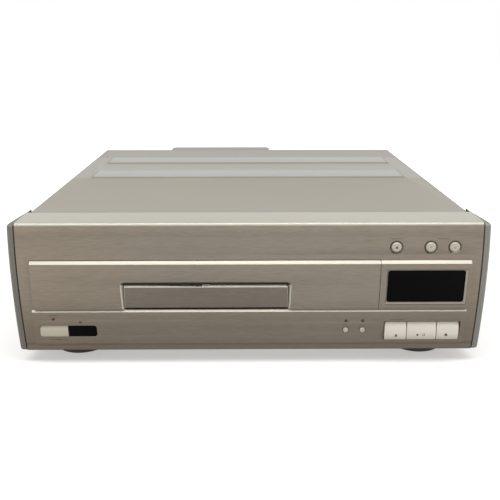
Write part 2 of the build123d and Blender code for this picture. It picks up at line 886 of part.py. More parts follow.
gear_radius = gear_module * gear_teeth / 2
pinion_radius = gear_module * pinion_teeth / 2
large_rack_pitch_x = large_front_right - front_gap - tooth_addendum * gear_module
gear_x = large_rack_pitch_x + gear_radius
gear_y = front_y + gear_setback
gear_bottom = tray_bottom + gear_lift
gear_top = gear_bottom + gear_width
pinion_x = gear_x + (gear_radius + pinion_radius) * cos(pinion_angle)
pinion_y = gear_y + (gear_radius + pinion_radius) * sin(pinion_angle)
wheel_bottom = gear_top + gear_lift
wheel_top = wheel_bottom + belt_wheel_width
motor_x = pinion_x + motor_offset_x
motor_y = pinion_y + motor_offset_y
table_top = tray_bottom - slide_gap
table_bottom = table_top - guide_base


def make_tray_rack(root_x):
    # The first gap sits opposite the gear, and a tooth of the gear points at it
    blank_bottom = gear_bottom + seam
    teeth = []
    for outline in rack_outlines(gear_module, tray_rear_y - gear_y):
        points = [(root_x + rise, gear_y + along) for along, rise in outline]
        teeth.append(polygon(points))
    for outline in rack_outlines(gear_module, 3 * pi * gear_module):
        points = [(root_x + rise, gear_y - along) for along, rise in outline]
        teeth.append(polygon(points))
    rack = extrude(Sketch() + teeth, amount=gear_width - 2 * seam)
    return Pos(0, 0, blank_bottom) * rack


def make_loading_gear():
    gear = spur_gear(gear_module, gear_teeth, pi, gear_width, pin_radius + running_gap)
    hub = Cylinder(2 * pin_radius, gear_lift - seam, align=(Align.CENTER, Align.CENTER, Align.MAX))
    hub -= Cylinder(pin_radius + running_gap, 4 * gear_lift)
    return Pos(gear_x, gear_y, gear_bottom) * (gear + hub)


def pinion_tooth_angle():
    # Lines a gap of the pinion up with the tooth of the gear nearest to the line of centres
    tooth = 2 * pi / gear_teeth
    lead = (pi - pinion_angle) % tooth
    return pinion_angle + pi - lead * gear_teeth / pinion_teeth + pi / pinion_teeth


def grooved_wheel(radius, width, groove):
    half = width / 2
    rim = [(0, -half), (radius, -half), (radius - groove, -half + groove), (radius - groove, half - groove),
           (radius, half), (0, half)]
    return revolve(Plane.XZ * polygon(rim), Axis.Z)


def make_belt_pulley():
    pinion = spur_gear(gear_module, pinion_teeth, pinion_tooth_angle(), wheel_bottom - gear_bottom,
                       pin_radius + running_gap)
    wheel = grooved_wheel(belt_wheel_radius, belt_wheel_width, belt_groove)
    wheel = Pos(0, 0, wheel_bottom - gear_bottom + belt_wheel_width / 2) * wheel
    hub = Cylinder(2 * pin_radius, gear_lift - seam, align=(Align.CENTER, Align.CENTER, Align.MAX))
    pulley = pinion + wheel + hub - Cylinder(pin_radius + running_gap, 8 * gear_width)
    return Pos(pinion_x, pinion_y, gear_bottom) * pulley


def make_motor_pulley():
    pulley = grooved_wheel(motor_pulley_radius, belt_wheel_width, belt_groove)
    pulley -= Cylinder(motor_shaft_radius + running_gap, 2 * belt_wheel_width)
    return Pos(motor_x, motor_y, wheel_bottom + belt_wheel_width / 2) * pulley


def belt_face(wheel_radius, pulley_radius):
    # The outline of a belt round the two pulleys: their circles and the tangents between them
    apart = hypot(motor_offset_x, motor_offset_y)
    along = Vector(motor_offset_x, motor_offset_y) / apart
    across = Vector(-along.Y, along.X)
    lean = (wheel_radius - pulley_radius) / apart
    spread = sqrt(1 - lean ** 2)
    corners = []
    for side in (-1, 1):
        reach = along * lean + across * (side * spread)
        corners.append((reach * wheel_radius, along * apart + reach * pulley_radius))
    (low_wheel, low_pulley), (high_wheel, high_pulley) = corners
    band = polygon([low_wheel, low_pulley, high_pulley, high_wheel])
    pulley_at = along * apart
    return band + Circle(wheel_radius) + Pos(pulley_at.X, pulley_at.Y) * Circle(pulley_radius)


def make_drive_belt():
    wheel = belt_wheel_radius - belt_groove + seam
    pulley = motor_pulley_radius - belt_groove + seam
    outline = belt_face(wheel + belt_thickness, pulley + belt_thickness) - belt_face(wheel, pulley)
    middle = wheel_bottom + belt_wheel_width / 2
    groove_width = belt_wheel_width - 2 * belt_groove
    return Pos(pinion_x, pinion_y, middle - groove_width / 2) * extrude(outline, amount=groove_width)


def make_loading_motor():
    body = rod_z(motor_x, motor_y, table_bottom - motor_length, table_bottom, motor_radius)
    body = chamfer(body.edges().group_by(Axis.Z)[0], motor_shaft_radius)
    return body + rod_z(motor_x, motor_y, table_bottom - seam, wheel_top + seam, motor_shaft_radius)


# Tray guides and the clamp bridge

guide_front_y = front_y + guide_setback
guide_top = tray_top + slide_gap + guide_lip


def guide_leg_ys():
    return guide_front_y, disc_y, tray_rear_y - guide_leg


def guide_legs(x0, x1, top):
    return [block(x0, x1, y, y + guide_leg, pan_top, top) for y in guide_leg_ys()]


def make_left_guide():
    inner = tray_left_x - slide_gap
    outer = inner - guide_wall
    guide = block(outer, inner + guide_shelf, guide_front_y, tray_rear_y, table_bottom, table_top)
    guide += block(outer, inner, guide_front_y, tray_rear_y, table_bottom, guide_top)
    guide += block(outer, inner + guide_lip_reach, guide_front_y, tray_rear_y,
                   tray_top + slide_gap, guide_top)
    for leg in guide_legs(outer, outer + guide_wall, table_bottom + seam):
        guide += leg
    return guide


def make_right_guide():
    rack_root = large_rack_pitch_x - tooth_dedendum * gear_module
    inner = large_front_right
    wall_front = gear_y + gear_radius + 2 * tooth_dedendum * gear_module + gear_lift
    table_right = motor_x + motor_radius
    table_rear = motor_y + motor_radius + slide_gap
    guide = block(rack_root - guide_shelf, inner + guide_wall, guide_front_y, tray_rear_y,
                  table_bottom, table_top)
    guide += block(inner + guide_wall, table_right, guide_front_y, table_rear, table_bottom, table_top)
    guide += block(inner, inner + guide_wall, wall_front, tray_rear_y, table_bottom, guide_top)
    guide += block(rack_root - guide_lip_reach, inner + guide_wall, wall_front, tray_rear_y,
                   tray_top + slide_gap, guide_top)
    for leg in guide_legs(inner, inner + guide_wall, table_bottom + seam):
        guide += leg
    guide += block(table_right - guide_wall, table_right, guide_front_y, guide_front_y + guide_leg,
                   pan_top, table_bottom + seam)
    guide += rod_z(gear_x, gear_y, table_top - seam, gear_top + seam, pin_radius)
    guide += rod_z(pinion_x, pinion_y, table_top - seam, wheel_top + seam, pin_radius)
    return guide - rod_z(motor_x, motor_y, table_bottom - seam, table_top + seam, 3 * motor_shaft_radius)


bridge_bottom = guide_top + bridge_rise
bridge_top = bridge_bottom + bridge_sheet


def make_clamp_bridge():
    y0, y1 = disc_y - bridge_half_width, disc_y + bridge_half_width
    left = tray_left_x - slide_gap - guide_wall
    right = large_front_right + guide_wall
    bridge = block(left, right, y0, y1, bridge_bottom, bridge_top)
    for x0, x1 in ((left, left + guide_shelf), (right - guide_shelf, right)):
        bridge += block(x0, x1, y0, y1, guide_top, bridge_bottom + seam)
    ring = rod_z(drawer_x, disc_y, bridge_bottom, bridge_top, puck_head_radius + guide_shelf)
    return bridge + ring - rod_z(drawer_x, disc_y, 0, case_top, puck_neck_radius + seam)


# Turntable and clamper

large_seat_raised = flange_top + deck_lift
small_hub_top = flange_top + 2 * hub_step
puck_bottom = large_seat_raised + large_disc_thickness + clamp_gap


def make_turntable():
    hub_bottom = flange_top - flange_height
    table = rod_z(drawer_x, disc_y, hub_bottom, flange_top, flange_radius)
    table += rod_z(drawer_x, disc_y, hub_bottom, flange_top + hub_step, large_hub_radius)
    cone = rod_z(drawer_x, disc_y, flange_top, small_hub_top, small_hub_radius)
    table += chamfer(cone.edges().group_by(Axis.Z)[-1], hub_step / 2)
    table += rod_z(drawer_x, disc_y, hub_bottom - hub_step, flange_top, 2 * spindle_shaft_radius)
    return table - rod_z(drawer_x, disc_y, 0, flange_top, spindle_shaft_radius + running_gap)


def make_spindle_motor():
    top = deck_top + spindle_motor_height
    body = rod_z(drawer_x, disc_y, deck_top, top, spindle_motor_radius)
    body = fillet(body.edges().group_by(Axis.Z)[-1], hub_step)
    return body + rod_z(drawer_x, disc_y, deck_top, flange_top - seam, spindle_shaft_radius)


def make_clamper_puck():
    puck = rod_z(drawer_x, disc_y, puck_bottom, puck_bottom + puck_height, puck_radius)
    puck = fillet(puck.edges().group_by(Axis.Z)[-1], clamp_gap)
    head_bottom = bridge_top + seam
    puck += rod_z(drawer_x, disc_y, puck_bottom, head_bottom + seam, puck_neck_radius)
    puck += rod_z(drawer_x, disc_y, head_bottom, head_bottom + puck_head, puck_head_radius)
    bore_top = puck_bottom + 2 * hub_step
    return puck - rod_z(drawer_x, disc_y, 0, bore_top, small_hub_radius + puck_bore_gap)


# Lifting deck

deck_top = deck_bottom + deck_sheet
plate_outer = plate_half + plate_sheet
deck_half = plate_outer + deck_side_margin
deck_front_y = disc_y - deck_front_reach
deck_rear_y = pivot_y - web_front / 2


def post_places():
    reach = deck_half + deck_lug / 2
    ys = (deck_front_y + post_inset, deck_rear_y - post_inset)
    return [(drawer_x + side * reach, y) for y in ys for side in (-1, 1)]


def make_deck():
    deck = block(drawer_x - deck_half, drawer_x + deck_half, deck_front_y, deck_rear_y,
                 deck_bottom, deck_top)
    for x, y in post_places():
        half = deck_lug / 2
        deck += block(x - half, x + half, y - half, y + half, deck_bottom, deck_top)
        deck -= rod_z(x, y, deck_bottom - 1, deck_top + 1, post_pin_radius + running_gap)
    return deck + make_feed_rack()


def make_deck_posts():
    posts = []
    for x, y in post_places():
        base = rod_z(x, y, pan_top, deck_bottom - seam, post_base_radius)
        pin = rod_z(x, y, pan_top, deck_top + deck_lift + deck_sheet, post_pin_radius)
        posts.append(base + chamfer(pin.edges().group_by(Axis.Z)[-1], seam))
    return posts


# Turn-over guide: a U track on its side, from under the disc round to above it

track_half = track_pin_radius + seam
track_outer = track_radius + track_margin
carriage_bottom = deck_top + carriage_lift
carriage_top = carriage_bottom + carriage_height


def make_turnover_plate(side):
    arm_front = disc_y - lower_arm_reach
    upper_front = disc_y + upper_arm_gap
    inner_edge = track_radius - track_inner_margin
    low = deck_top
    high = pivot_height + track_outer
    rim = ThreePointArc((pivot_y, low), (pivot_y + track_outer, (low + high) / 2), (pivot_y, high))
    web_y = pivot_y - web_front
    sides = Polyline((pivot_y, high), (upper_front, high), (upper_front, pivot_height + inner_edge),
                     (web_y, pivot_height + inner_edge), (web_y, pivot_height - inner_edge),
                     (arm_front, pivot_height - inner_edge), (arm_front, low), (pivot_y, low))
    outline = make_face([rim, *sides.edges()])
    outline -= track_face()
    outline -= Pos(pivot_y, pivot_height) * Circle(pivot_radius + running_gap)
    x0, x1 = sorted((drawer_x + side * plate_half, drawer_x + side * plate_outer))
    return side_prism(outline, x0, x1)


def track_face():
    inner, outer = track_radius - track_half, track_radius + track_half
    ring = Pos(pivot_y, pivot_height) * (Circle(outer) - Circle(inner))
    rear = Pos(pivot_y + outer, pivot_height) * Rectangle(2 * outer, 2 * outer + 1)
    lower_end = disc_y + inner_track_radius - track_pin_radius
    upper_end = disc_y + upper_arm_gap + track_margin
    face = ring & rear
    for end, height in ((lower_end, -track_radius), (upper_end, track_radius)):
        middle = Pos((end + pivot_y) / 2, pivot_height + height)
        face += middle * Rectangle(pivot_y - end, 2 * track_half)
        face += Pos(end, pivot_height + height) * Circle(track_half)
    return face


def make_cradle():
    cheek_outer = plate_half - cradle_gap
    back_y = pivot_y + carriage_rear + 2 * cradle_gap
    low = carriage_bottom
    high = low + cradle_back_height
    hub = cradle_tube_radius + cradle_gap
    hub_low, hub_high = pivot_height - hub, pivot_height + hub
    outline = [(pivot_y - hub, pivot_height), (pivot_y - hub / 2, hub_high), (pivot_y + hub / 2, hub_high),
               (back_y + cradle_back, high), (back_y + cradle_back, low), (back_y - cradle_gap, low),
               (pivot_y - hub / 2, hub_low)]
    cradle = rod_x(pivot_y, pivot_height, drawer_x - plate_outer, drawer_x + plate_outer, pivot_radius)
    left, right = drawer_x - cheek_outer, drawer_x + cheek_outer
    cradle += rod_x(pivot_y, pivot_height, left, right, cradle_tube_radius)
    for side in (-1, 1):
        x0, x1 = sorted((drawer_x + side * cheek_outer, drawer_x + side * (cheek_outer - cradle_cheek)))
        cradle += side_prism(polygon(outline), x0, x1)
    return cradle + block(left, right, back_y, back_y + cradle_back, low, high)


carriage_half_length = (carriage_rear - carriage_front) / 2
feed_x = drawer_x - feed_offset
feed_root = deck_top + feed_rack_height - (tooth_addendum + tooth_dedendum) * feed_module
feed_z = feed_root + (tooth_dedendum + feed_teeth / 2) * feed_module


def make_feed_rack():
    length = pivot_y - (disc_y + inner_track_radius - carriage_half_length)
    half = feed_width / 2 + seam
    teeth = []
    for outline in rack_outlines(feed_module, length):
        if outline[2][0] > pivot_y - deck_rear_y + feed_module:
            teeth.append(polygon([(pivot_y - along, feed_root + rise) for along, rise in outline]))
    front = pivot_y - outline[3][0]
    left, right = feed_x - half, feed_x + half
    bar = block(left, right, front - feed_module, deck_rear_y, deck_bottom + seam, feed_root)
    return bar + side_prism(Sketch() + teeth, left, right)


def make_feed_gear():
    gear = gear_outline(feed_module, feed_teeth, -pi / 2)
    bore = Circle(track_pin_radius / 2 + running_gap)
    gear = extrude(Plane.YZ * (gear - bore), amount=feed_width)
    return Pos(feed_x - feed_width / 2, pivot_y, feed_z) * gear


def make_carriage():
    y0, y1 = pivot_y - carriage_front, pivot_y + carriage_rear
    body = block(drawer_x - carriage_half, drawer_x + carriage_half, y0, y1, carriage_bottom, carriage_top)
    body = fillet(body.edges().filter_by(Axis.Z), 2 * cradle_gap)
    gear_tip = feed_module * (feed_teeth / 2 + 1)
    half = feed_width / 2 + seam
    body -= block(feed_x - half, feed_x + half, y0 - 2 * gear_tip, pivot_y + gear_tip + seam,
                  carriage_bottom - 1, feed_z + gear_tip + seam)
    body += rod_x(pivot_y, feed_z, feed_x - half - seam, feed_x + half + seam, track_pin_radius / 2)
    for side in (-1, 1):
        x0, x1 = sorted((drawer_x + side * (carriage_half - cradle_gap), drawer_x + side * plate_outer))
        body += rod_x(pivot_y, pivot_height - track_radius, x0, x1, track_pin_radius)
    return body - rod_z(drawer_x, pivot_y, carriage_top - lens_seat, carriage_top + 1, lens_radius + seam)


def make_lens():
    bottom = carriage_top - lens_seat + lens_seat_gap
    return rod_z(drawer_x, pivot_y, bottom, carriage_top + lens_rise, lens_radius)


# Boards, transformer and sockets

def main_board_edges():
    left = drawer_x + deck_half + deck_lug + board_deck_gap
    rear = rear_y - main_board_rear_gap
    return left, panel_half - board_side_gap, rear - main_board_length, rear


def power_board_edges():
    right = drawer_x - deck_half - deck_lug - board_deck_gap / 2
    rear = rear_y - power_board_rear_gap
    return right - power_board_width, right, rear - power_board_length, rear


def standoff_places(x0, x1, y0, y1):
    inset = standoff_inset
    return [(x, y) for x in (x0 + inset, x1 - inset) for y in (y0 + inset, y1 - inset)]


def make_board(x0, x1, y0, y1):
    bottom = pan_top + board_standoff
    return block(x0, x1, y0, y1, bottom, bottom + board_thickness)


def make_main_board():
    # The rear leg of the right tray guide stands in a notch of this board
    board = make_board(*main_board_edges())
    leg_y = guide_leg_ys()[-1]
    inner = large_front_right - leg_notch_gap
    outer = large_front_right + guide_wall + leg_notch_gap
    top = pan_top + board_standoff + 2 * board_thickness
    return board - block(inner, outer, leg_y - leg_notch_gap, leg_y + guide_leg + leg_notch_gap,
                         pan_top, top)


def placed_components(edges, blocks, cans):
    # A place is given as shares of the board across and along, and a size in pitches:
    # blocks are (across, along, width, length, height) and cans are (across, along, radius, height)
    x0, x1, y0, y1 = edges
    bottom = pan_top + board_standoff + board_thickness
    pieces = []
    for across, along, *size in blocks:
        width, length, height = [component_pitch * pitches for pitches in size]
        x, y = x0 + across * (x1 - x0), y0 + along * (y1 - y0)
        pieces.append(block(x, x + width, y, y + length, bottom, bottom + height))
    for across, along, *size in cans:
        radius, height = [component_pitch * pitches for pitches in size]
        can = rod_z(x0 + across * (x1 - x0), y0 + along * (y1 - y0), bottom, bottom + height, radius)
        pieces.append(fillet(can.edges().group_by(Axis.Z)[-1], radius / 6))
    return pieces


def make_main_components():
    blocks = [(0.14, 0.12, 14, 14, 1.5), (0.44, 0.14, 10, 10, 1.5), (0.72, 0.11, 13, 6, 2),
              (0.15, 0.42, 15, 6, 2), (0.46, 0.40, 7, 13, 5), (0.66, 0.38, 15, 15, 1.5),
              (0.14, 0.65, 20, 5, 4), (0.50, 0.62, 12, 12, 6)]
    cans = [(0.80, 0.72, 2.5, 7), (0.90, 0.72, 2.5, 7), (0.80, 0.82, 2, 5.5), (0.90, 0.82, 2, 5.5),
            (0.38, 0.83, 1.75, 5.5)]
    return placed_components(main_board_edges(), blocks, cans)


def make_power_components():
    blocks = [(0.19, 0.41, 4, 30, 13), (0.46, 0.79, 13, 9, 8), (0.54, 0.12, 11, 8, 6)]
    cans = [(0.51, 0.38, 4.5, 13.5), (0.80, 0.38, 4.5, 13.5), (0.51, 0.54, 4, 12), (0.80, 0.54, 3, 10),
            (0.59, 0.67, 2.5, 8), (0.80, 0.67, 2.5, 8)]
    return placed_components(power_board_edges(), blocks, cans)


core_x = drawer_x - core_offset


def core_outline():
    y = rear_y - core_rear_gap
    return core_x - core_width / 2, core_x + core_width / 2, y - core_length / 2, y + core_length / 2


def core_windows():
    x0, x1, y0, y1 = core_outline()
    inner = core_x - core_limb, core_x + core_limb
    return [(x0 + core_limb, inner[0], y0 + core_limb, y1 - core_limb),
            (inner[1], x1 - core_limb, y0 + core_limb, y1 - core_limb)]


def make_core():
    x0, x1, y0, y1 = core_outline()
    bottom = pan_top + core_lift
    top = bottom + core_stack
    core = block(x0, x1, y0, y1, bottom, top)
    for window in core_windows():
        core -= block(*window, bottom - 1, top + 1)
    leg = core_limb / 2
    for x in (x0 + leg, x1 - leg):
        for y in (y0 + leg, y1 - leg):
            core += rod_z(x, y, pan_top, bottom + 1, leg / 2)
    return core


def make_coil():
    (left, _, y0, y1), (_, right, _, _) = core_windows()
    bottom = pan_top + core_lift
    gap = coil_gap
    coil = block(left + gap, right - gap, y0 + gap, y1 - gap,
                 bottom - coil_rise, bottom + core_stack + coil_rise)
    coil = fillet(coil.edges().filter_by(Axis.Y), coil_corner)
    limb = core_limb + gap
    return coil - block(core_x - limb, core_x + limb, y0 - 1, y1 + 1,
                        bottom - gap, bottom + core_stack + gap)


jack_left_x = drawer_x + housing_half + jack_housing_gap
inlet_x = drawer_x - housing_half - inlet_housing_gap


def jack_places():
    return [(jack_left_x + column * jack_pitch_x, jack_low_z + row * jack_pitch_z)
            for row in range(2) for column in range(jack_columns)]


def jack_block_window():
    margin = jack_block_margin
    right = jack_left_x + (jack_columns - 1) * jack_pitch_x
    return jack_left_x - margin, right + margin, jack_low_z - margin, jack_low_z + jack_pitch_z + margin


def make_jack_block():
    x0, x1, z0, z1 = jack_block_window()
    jacks = block(x0, x1, rear_panel_y - jack_block_depth, rear_y, z0, z1)
    for x, z in jack_places():
        core_end = rear_y + jack_length - jack_shell_wall
        jacks += rod_y(x, z, rear_y - seam, core_end, jack_radius - jack_shell_wall)
        jacks -= rod_y(x, z, rear_y - 1, rear_y + jack_length, jack_bore)
    return jacks


def make_jack_shells():
    shells = []
    for x, z in jack_places():
        shell = rod_y(x, z, rear_y, rear_y + jack_length, jack_radius)
        inner_radius = jack_radius - jack_shell_wall
        shells.append(shell - rod_y(x, z, rear_y - 1, rear_y + jack_length + 1, inner_radius))
    return shells


def make_inlet():
    back = rear_panel_y + pan_sheet
    w, h = inlet_half_width, inlet_half_height
    reach = inlet_flange_reach
    body = block(inlet_x - w, inlet_x + w, back - inlet_depth, back, inlet_z - h, inlet_z + h)
    body += block(inlet_x - w - reach, inlet_x + w + reach, back, back + inlet_flange,
                  inlet_z - h - reach, inlet_z + h + reach)
    well_half = w - inlet_wall
    floor_y = back - inlet_depth + inlet_wall
    body -= rounded_block(inlet_x - well_half, inlet_x + well_half, floor_y, back + inlet_flange + 1,
                          inlet_z - h + inlet_wall, inlet_z + h - inlet_wall, inlet_wall)
    for side in (-1, 1):
        x = inlet_x + side * inlet_pin_pitch / 2
        body += rod_y(x, inlet_z, floor_y - 1, floor_y + inlet_pin_length, inlet_pin_radius)
    return body


def write(name, shape):
    solids = shape if isinstance(shape, list) else [shape]
    bodies = [solid for piece in solids for solid in piece.solids()]
    shape = bodies[0] if len(bodies) == 1 else Compound(children=bodies)
    shape.label = name
    export_step(shape, f"parts/{name}.step")


write("front_panel", make_front_panel())
write("left_cheek", make_cheek(-1))
write("right_cheek", make_cheek(1))
write("top_cover", make_top_cover())
write("case_screws", make_case_screws())
write("chassis_pan", make_chassis_pan())
write("rear_panel", make_rear_panel())
write("rear_housing", make_rear_housing())
write("feet", make_feet())
write("foot_pads", make_foot_pads())
write("display_bezel", make_display_bezel())
write("display_window", make_display_window())
write("display_tube", make_display_tube())
write("lower_fascia", make_lower_fascia())
write("remote_window", make_remote_window())
write("indicator_lamps", make_indicator_lamps())
write("front_board", make_front_board())
write("tact_switches", make_switches())
write("large_drawer_front", make_large_front())
write("large_tray", make_large_tray())
write("small_drawer_front", make_small_front())
write("small_tray", make_small_tray())
write("left_tray_guide", make_left_guide())
write("right_tray_guide", make_right_guide())
write("clamp_bridge", make_clamp_bridge())
write("clamper_puck", make_clamper_puck())
write("loading_gear", make_loading_gear())
write("belt_pulley", make_belt_pulley())
write("motor_pulley", make_motor_pulley())
write("drive_belt", make_drive_belt())
write("loading_motor", make_loading_motor())
write("mechanism_deck", make_deck())
write("deck_posts", make_deck_posts())
write("spindle_motor", make_spindle_motor())
write("turntable", make_turntable())
write("left_turnover_plate", make_turnover_plate(-1))
write("right_turnover_plate", make_turnover_plate(1))
write("turnover_cradle", make_cradle())
write("pickup_carriage", make_carriage())
write("pickup_lens", make_lens())
write("feed_gear", make_feed_gear())
write("main_board", make_main_board())
write("main_board_components", make_main_components())
write("power_board", make_board(*power_board_edges()))
write("power_board_components", make_power_components())
write("transformer_core", make_core())
write("transformer_coil", make_coil())
write("jack_block", make_jack_block())
write("jack_shells", make_jack_shells())
write("power_inlet", make_inlet())
for number, x in enumerate(round_button_xs, 1):
    button = make_round_button(x, round_button_z, round_button_radius, button_edge_radius, 0)
    write(f"round_button_{number}", button)
for number, x in enumerate(dot_button_xs, 1):
    button = make_round_button(x, dot_button_z, dot_button_radius, dot_edge_radius, fascia_proud)
    write(f"dot_button_{number}", button)
for name, (x0, x1) in zip(("open_key", "play_key", "stop_key"), key_spans):
    write(name, make_key(x0, x1, key_bottom, key_top, key_proud, 2 * fascia_bevel))
write("power_button", make_power_button())
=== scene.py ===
import json
import math

import bmesh
import bpy
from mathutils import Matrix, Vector
from mathutils.bvhtree import BVHTree


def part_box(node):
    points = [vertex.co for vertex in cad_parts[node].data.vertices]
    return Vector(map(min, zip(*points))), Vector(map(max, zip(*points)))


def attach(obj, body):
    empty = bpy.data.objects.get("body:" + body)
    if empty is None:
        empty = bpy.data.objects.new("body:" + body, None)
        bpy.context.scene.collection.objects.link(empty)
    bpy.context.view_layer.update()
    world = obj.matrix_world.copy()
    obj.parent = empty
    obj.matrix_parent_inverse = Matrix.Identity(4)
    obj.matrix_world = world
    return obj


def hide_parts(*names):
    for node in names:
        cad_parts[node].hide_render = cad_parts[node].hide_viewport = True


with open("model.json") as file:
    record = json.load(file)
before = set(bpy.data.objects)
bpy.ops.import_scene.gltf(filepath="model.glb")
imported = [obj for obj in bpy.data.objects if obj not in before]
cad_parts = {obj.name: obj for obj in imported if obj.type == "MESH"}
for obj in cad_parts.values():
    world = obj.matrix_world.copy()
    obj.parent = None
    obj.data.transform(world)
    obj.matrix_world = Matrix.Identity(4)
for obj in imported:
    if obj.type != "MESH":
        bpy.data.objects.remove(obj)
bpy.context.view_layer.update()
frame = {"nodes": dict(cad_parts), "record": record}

mm = 0.001
nodes = frame["nodes"]
bumpStrength = 0.5
bodyOf = {node: body for body, members in frame["record"]["behaviour"]["bodies"].items() for node in members}


# Colours and node groups

def fromScreen(red, green, blue):
    # 0-255 colour as seen on screen to the linear value that the shader wants
    parts = [value / 255 for value in (red, green, blue)]
    linear = [value / 12.92 if value < 0.04045 else ((value + 0.055) / 1.055) ** 2.4 for value in parts]
    return (*linear, 1.0)


def newGroup(name, inputs, outputs):
    tree = bpy.data.node_groups.new(name, "ShaderNodeTree")
    for title, value in inputs.items():
        socket = tree.interface.new_socket(title, in_out="INPUT", socket_type="NodeSocketFloat")
        socket.default_value = value
    for title in outputs:
        tree.interface.new_socket(title, in_out="OUTPUT", socket_type="NodeSocketFloat")
    return tree, tree.nodes.new("NodeGroupInput"), tree.nodes.new("NodeGroupOutput")


def scaledPlace(tree, x, y, z):
    # Object coordinates times one scale for each axis, a socket or a number
    place = tree.nodes.new("ShaderNodeTexCoord")
    scale = tree.nodes.new("ShaderNodeCombineXYZ")
    for axis, value in zip("XYZ", (x, y, z)):
        if isinstance(value, bpy.types.NodeSocket):
            tree.links.new(value, scale.inputs[axis])
        else:
            scale.inputs[axis].default_value = value
    product = tree.nodes.new("ShaderNodeVectorMath")
    product.operation = "MULTIPLY"
    tree.links.new(place.outputs["Object"], product.inputs[0])
    tree.links.new(scale.outputs["Vector"], product.inputs[1])
    return product.outputs["Vector"]


def noiseOn(tree, vector, detail, roughness=0.55, scale=1.0):
    noise = tree.nodes.new("ShaderNodeTexNoise")
    noise.inputs["Scale"].default_value = scale
    noise.inputs["Detail"].default_value = detail
    noise.inputs["Roughness"].default_value = roughness
    tree.links.new(vector, noise.inputs["Vector"])
    return noise.outputs["Fac"]


def stretched(tree, value, low, high):
    # Spreads the middle of a noise over 0 to 1
    spread = tree.nodes.new("ShaderNodeMapRange")
    spread.inputs["From Min"].default_value = low
    spread.inputs["From Max"].default_value = high
    tree.links.new(value, spread.inputs["Value"])
    return spread.outputs["Result"]


def makeBrushedGrain():
    # Long fine scratches along X, and slow cloudy changes
    tree, source, result = newGroup("brushedGrain", {"Along": 80.0, "Across": 1500.0}, ("Streak", "Cloud"))
    along, across = source.outputs["Along"], source.outputs["Across"]
    streak = noiseOn(tree, scaledPlace(tree, along, across, across), 3.0, 0.7)
    cloud = noiseOn(tree, scaledPlace(tree, 6.0, 12.0, 14.0), 2.0)
    tree.links.new(stretched(tree, streak, 0.28, 0.72), result.inputs["Streak"])
    tree.links.new(stretched(tree, cloud, 0.3, 0.7), result.inputs["Cloud"])
    return tree


def makeSprayGrain():
    # Fine even speckle of sprayed satin paint or cast metal
    tree, source, result = newGroup("sprayGrain", {"Fineness": 1400.0}, ("Speckle", "Cloud"))
    fineness = source.outputs["Fineness"]
    speckle = noiseOn(tree, scaledPlace(tree, fineness, fineness, fineness), 3.0, 0.6)
    cloud = noiseOn(tree, scaledPlace(tree, 9.0, 9.0, 12.0), 3.0)
    tree.links.new(stretched(tree, speckle, 0.3, 0.7), result.inputs["Speckle"])
    tree.links.new(stretched(tree, cloud, 0.3, 0.7), result.inputs["Cloud"])
    return tree


def makeMouldGrain():
    # Pebbled spark-eroded skin of moulded plastic
    tree, source, result = newGroup("mouldGrain", {"Fineness": 900.0}, ("Pebble", "Cloud"))
    fineness = source.outputs["Fineness"]
    cells = tree.nodes.new("ShaderNodeTexVoronoi")
    cells.inputs["Scale"].default_value = 1.0
    tree.links.new(scaledPlace(tree, fineness, fineness, fineness), cells.inputs["Vector"])
    cloud = noiseOn(tree, scaledPlace(tree, 18.0, 18.0, 18.0), 4.0)
    tree.links.new(stretched(tree, cells.outputs["Distance"], 0.0, 0.8), result.inputs["Pebble"])
    tree.links.new(stretched(tree, cloud, 0.3, 0.7), result.inputs["Cloud"])
    return tree


def makeTurnedGrain():
    # Rings left by a lathe tool, for shafts, pulleys and screws
    tree, source, result = newGroup("turnedGrain", {"Fineness": 2600.0}, ("Ring", "Cloud"))
    fineness = source.outputs["Fineness"]
    ring = noiseOn(tree, scaledPlace(tree, 60.0, 60.0, fineness), 2.0, 0.6)
    cloud = noiseOn(tree, scaledPlace(tree, 40.0, 40.0, 40.0), 3.0)
    tree.links.new(stretched(tree, ring, 0.3, 0.7), result.inputs["Ring"])
    tree.links.new(stretched(tree, cloud, 0.3, 0.7), result.inputs["Cloud"])
    return tree


grains = {
    "brushed": (makeBrushedGrain(), "Streak"),
    "spray": (makeSprayGrain(), "Speckle"),
    "mould": (makeMouldGrain(), "Pebble"),
    "turned": (makeTurnedGrain(), "Ring"),
}


def mixColours(tree, factor, dark, light):
    mix = tree.nodes.new("ShaderNodeMix")
    mix.data_type = "RGBA"
    tree.links.new(factor, mix.inputs["Factor"])
    for title, colour in (("A", dark), ("B", light)):
        socket = [entry for entry in mix.inputs if entry.name == title and entry.type == "RGBA"][0]
        if isinstance(colour, bpy.types.NodeSocket):
            tree.links.new(colour, socket)
        else:
            socket.default_value = colour
    return [entry for entry in mix.outputs if entry.type == "RGBA"][0]


def blendValues(tree, first, second, share):
    # first + (second - first) * share, with share a plain number
    mix = tree.nodes.new("ShaderNodeMix")
    mix.inputs["Factor"].default_value = share
    tree.links.new(first, mix.inputs["A"])
    tree.links.new(second, mix.inputs["B"])
    return mix.outputs["Result"]


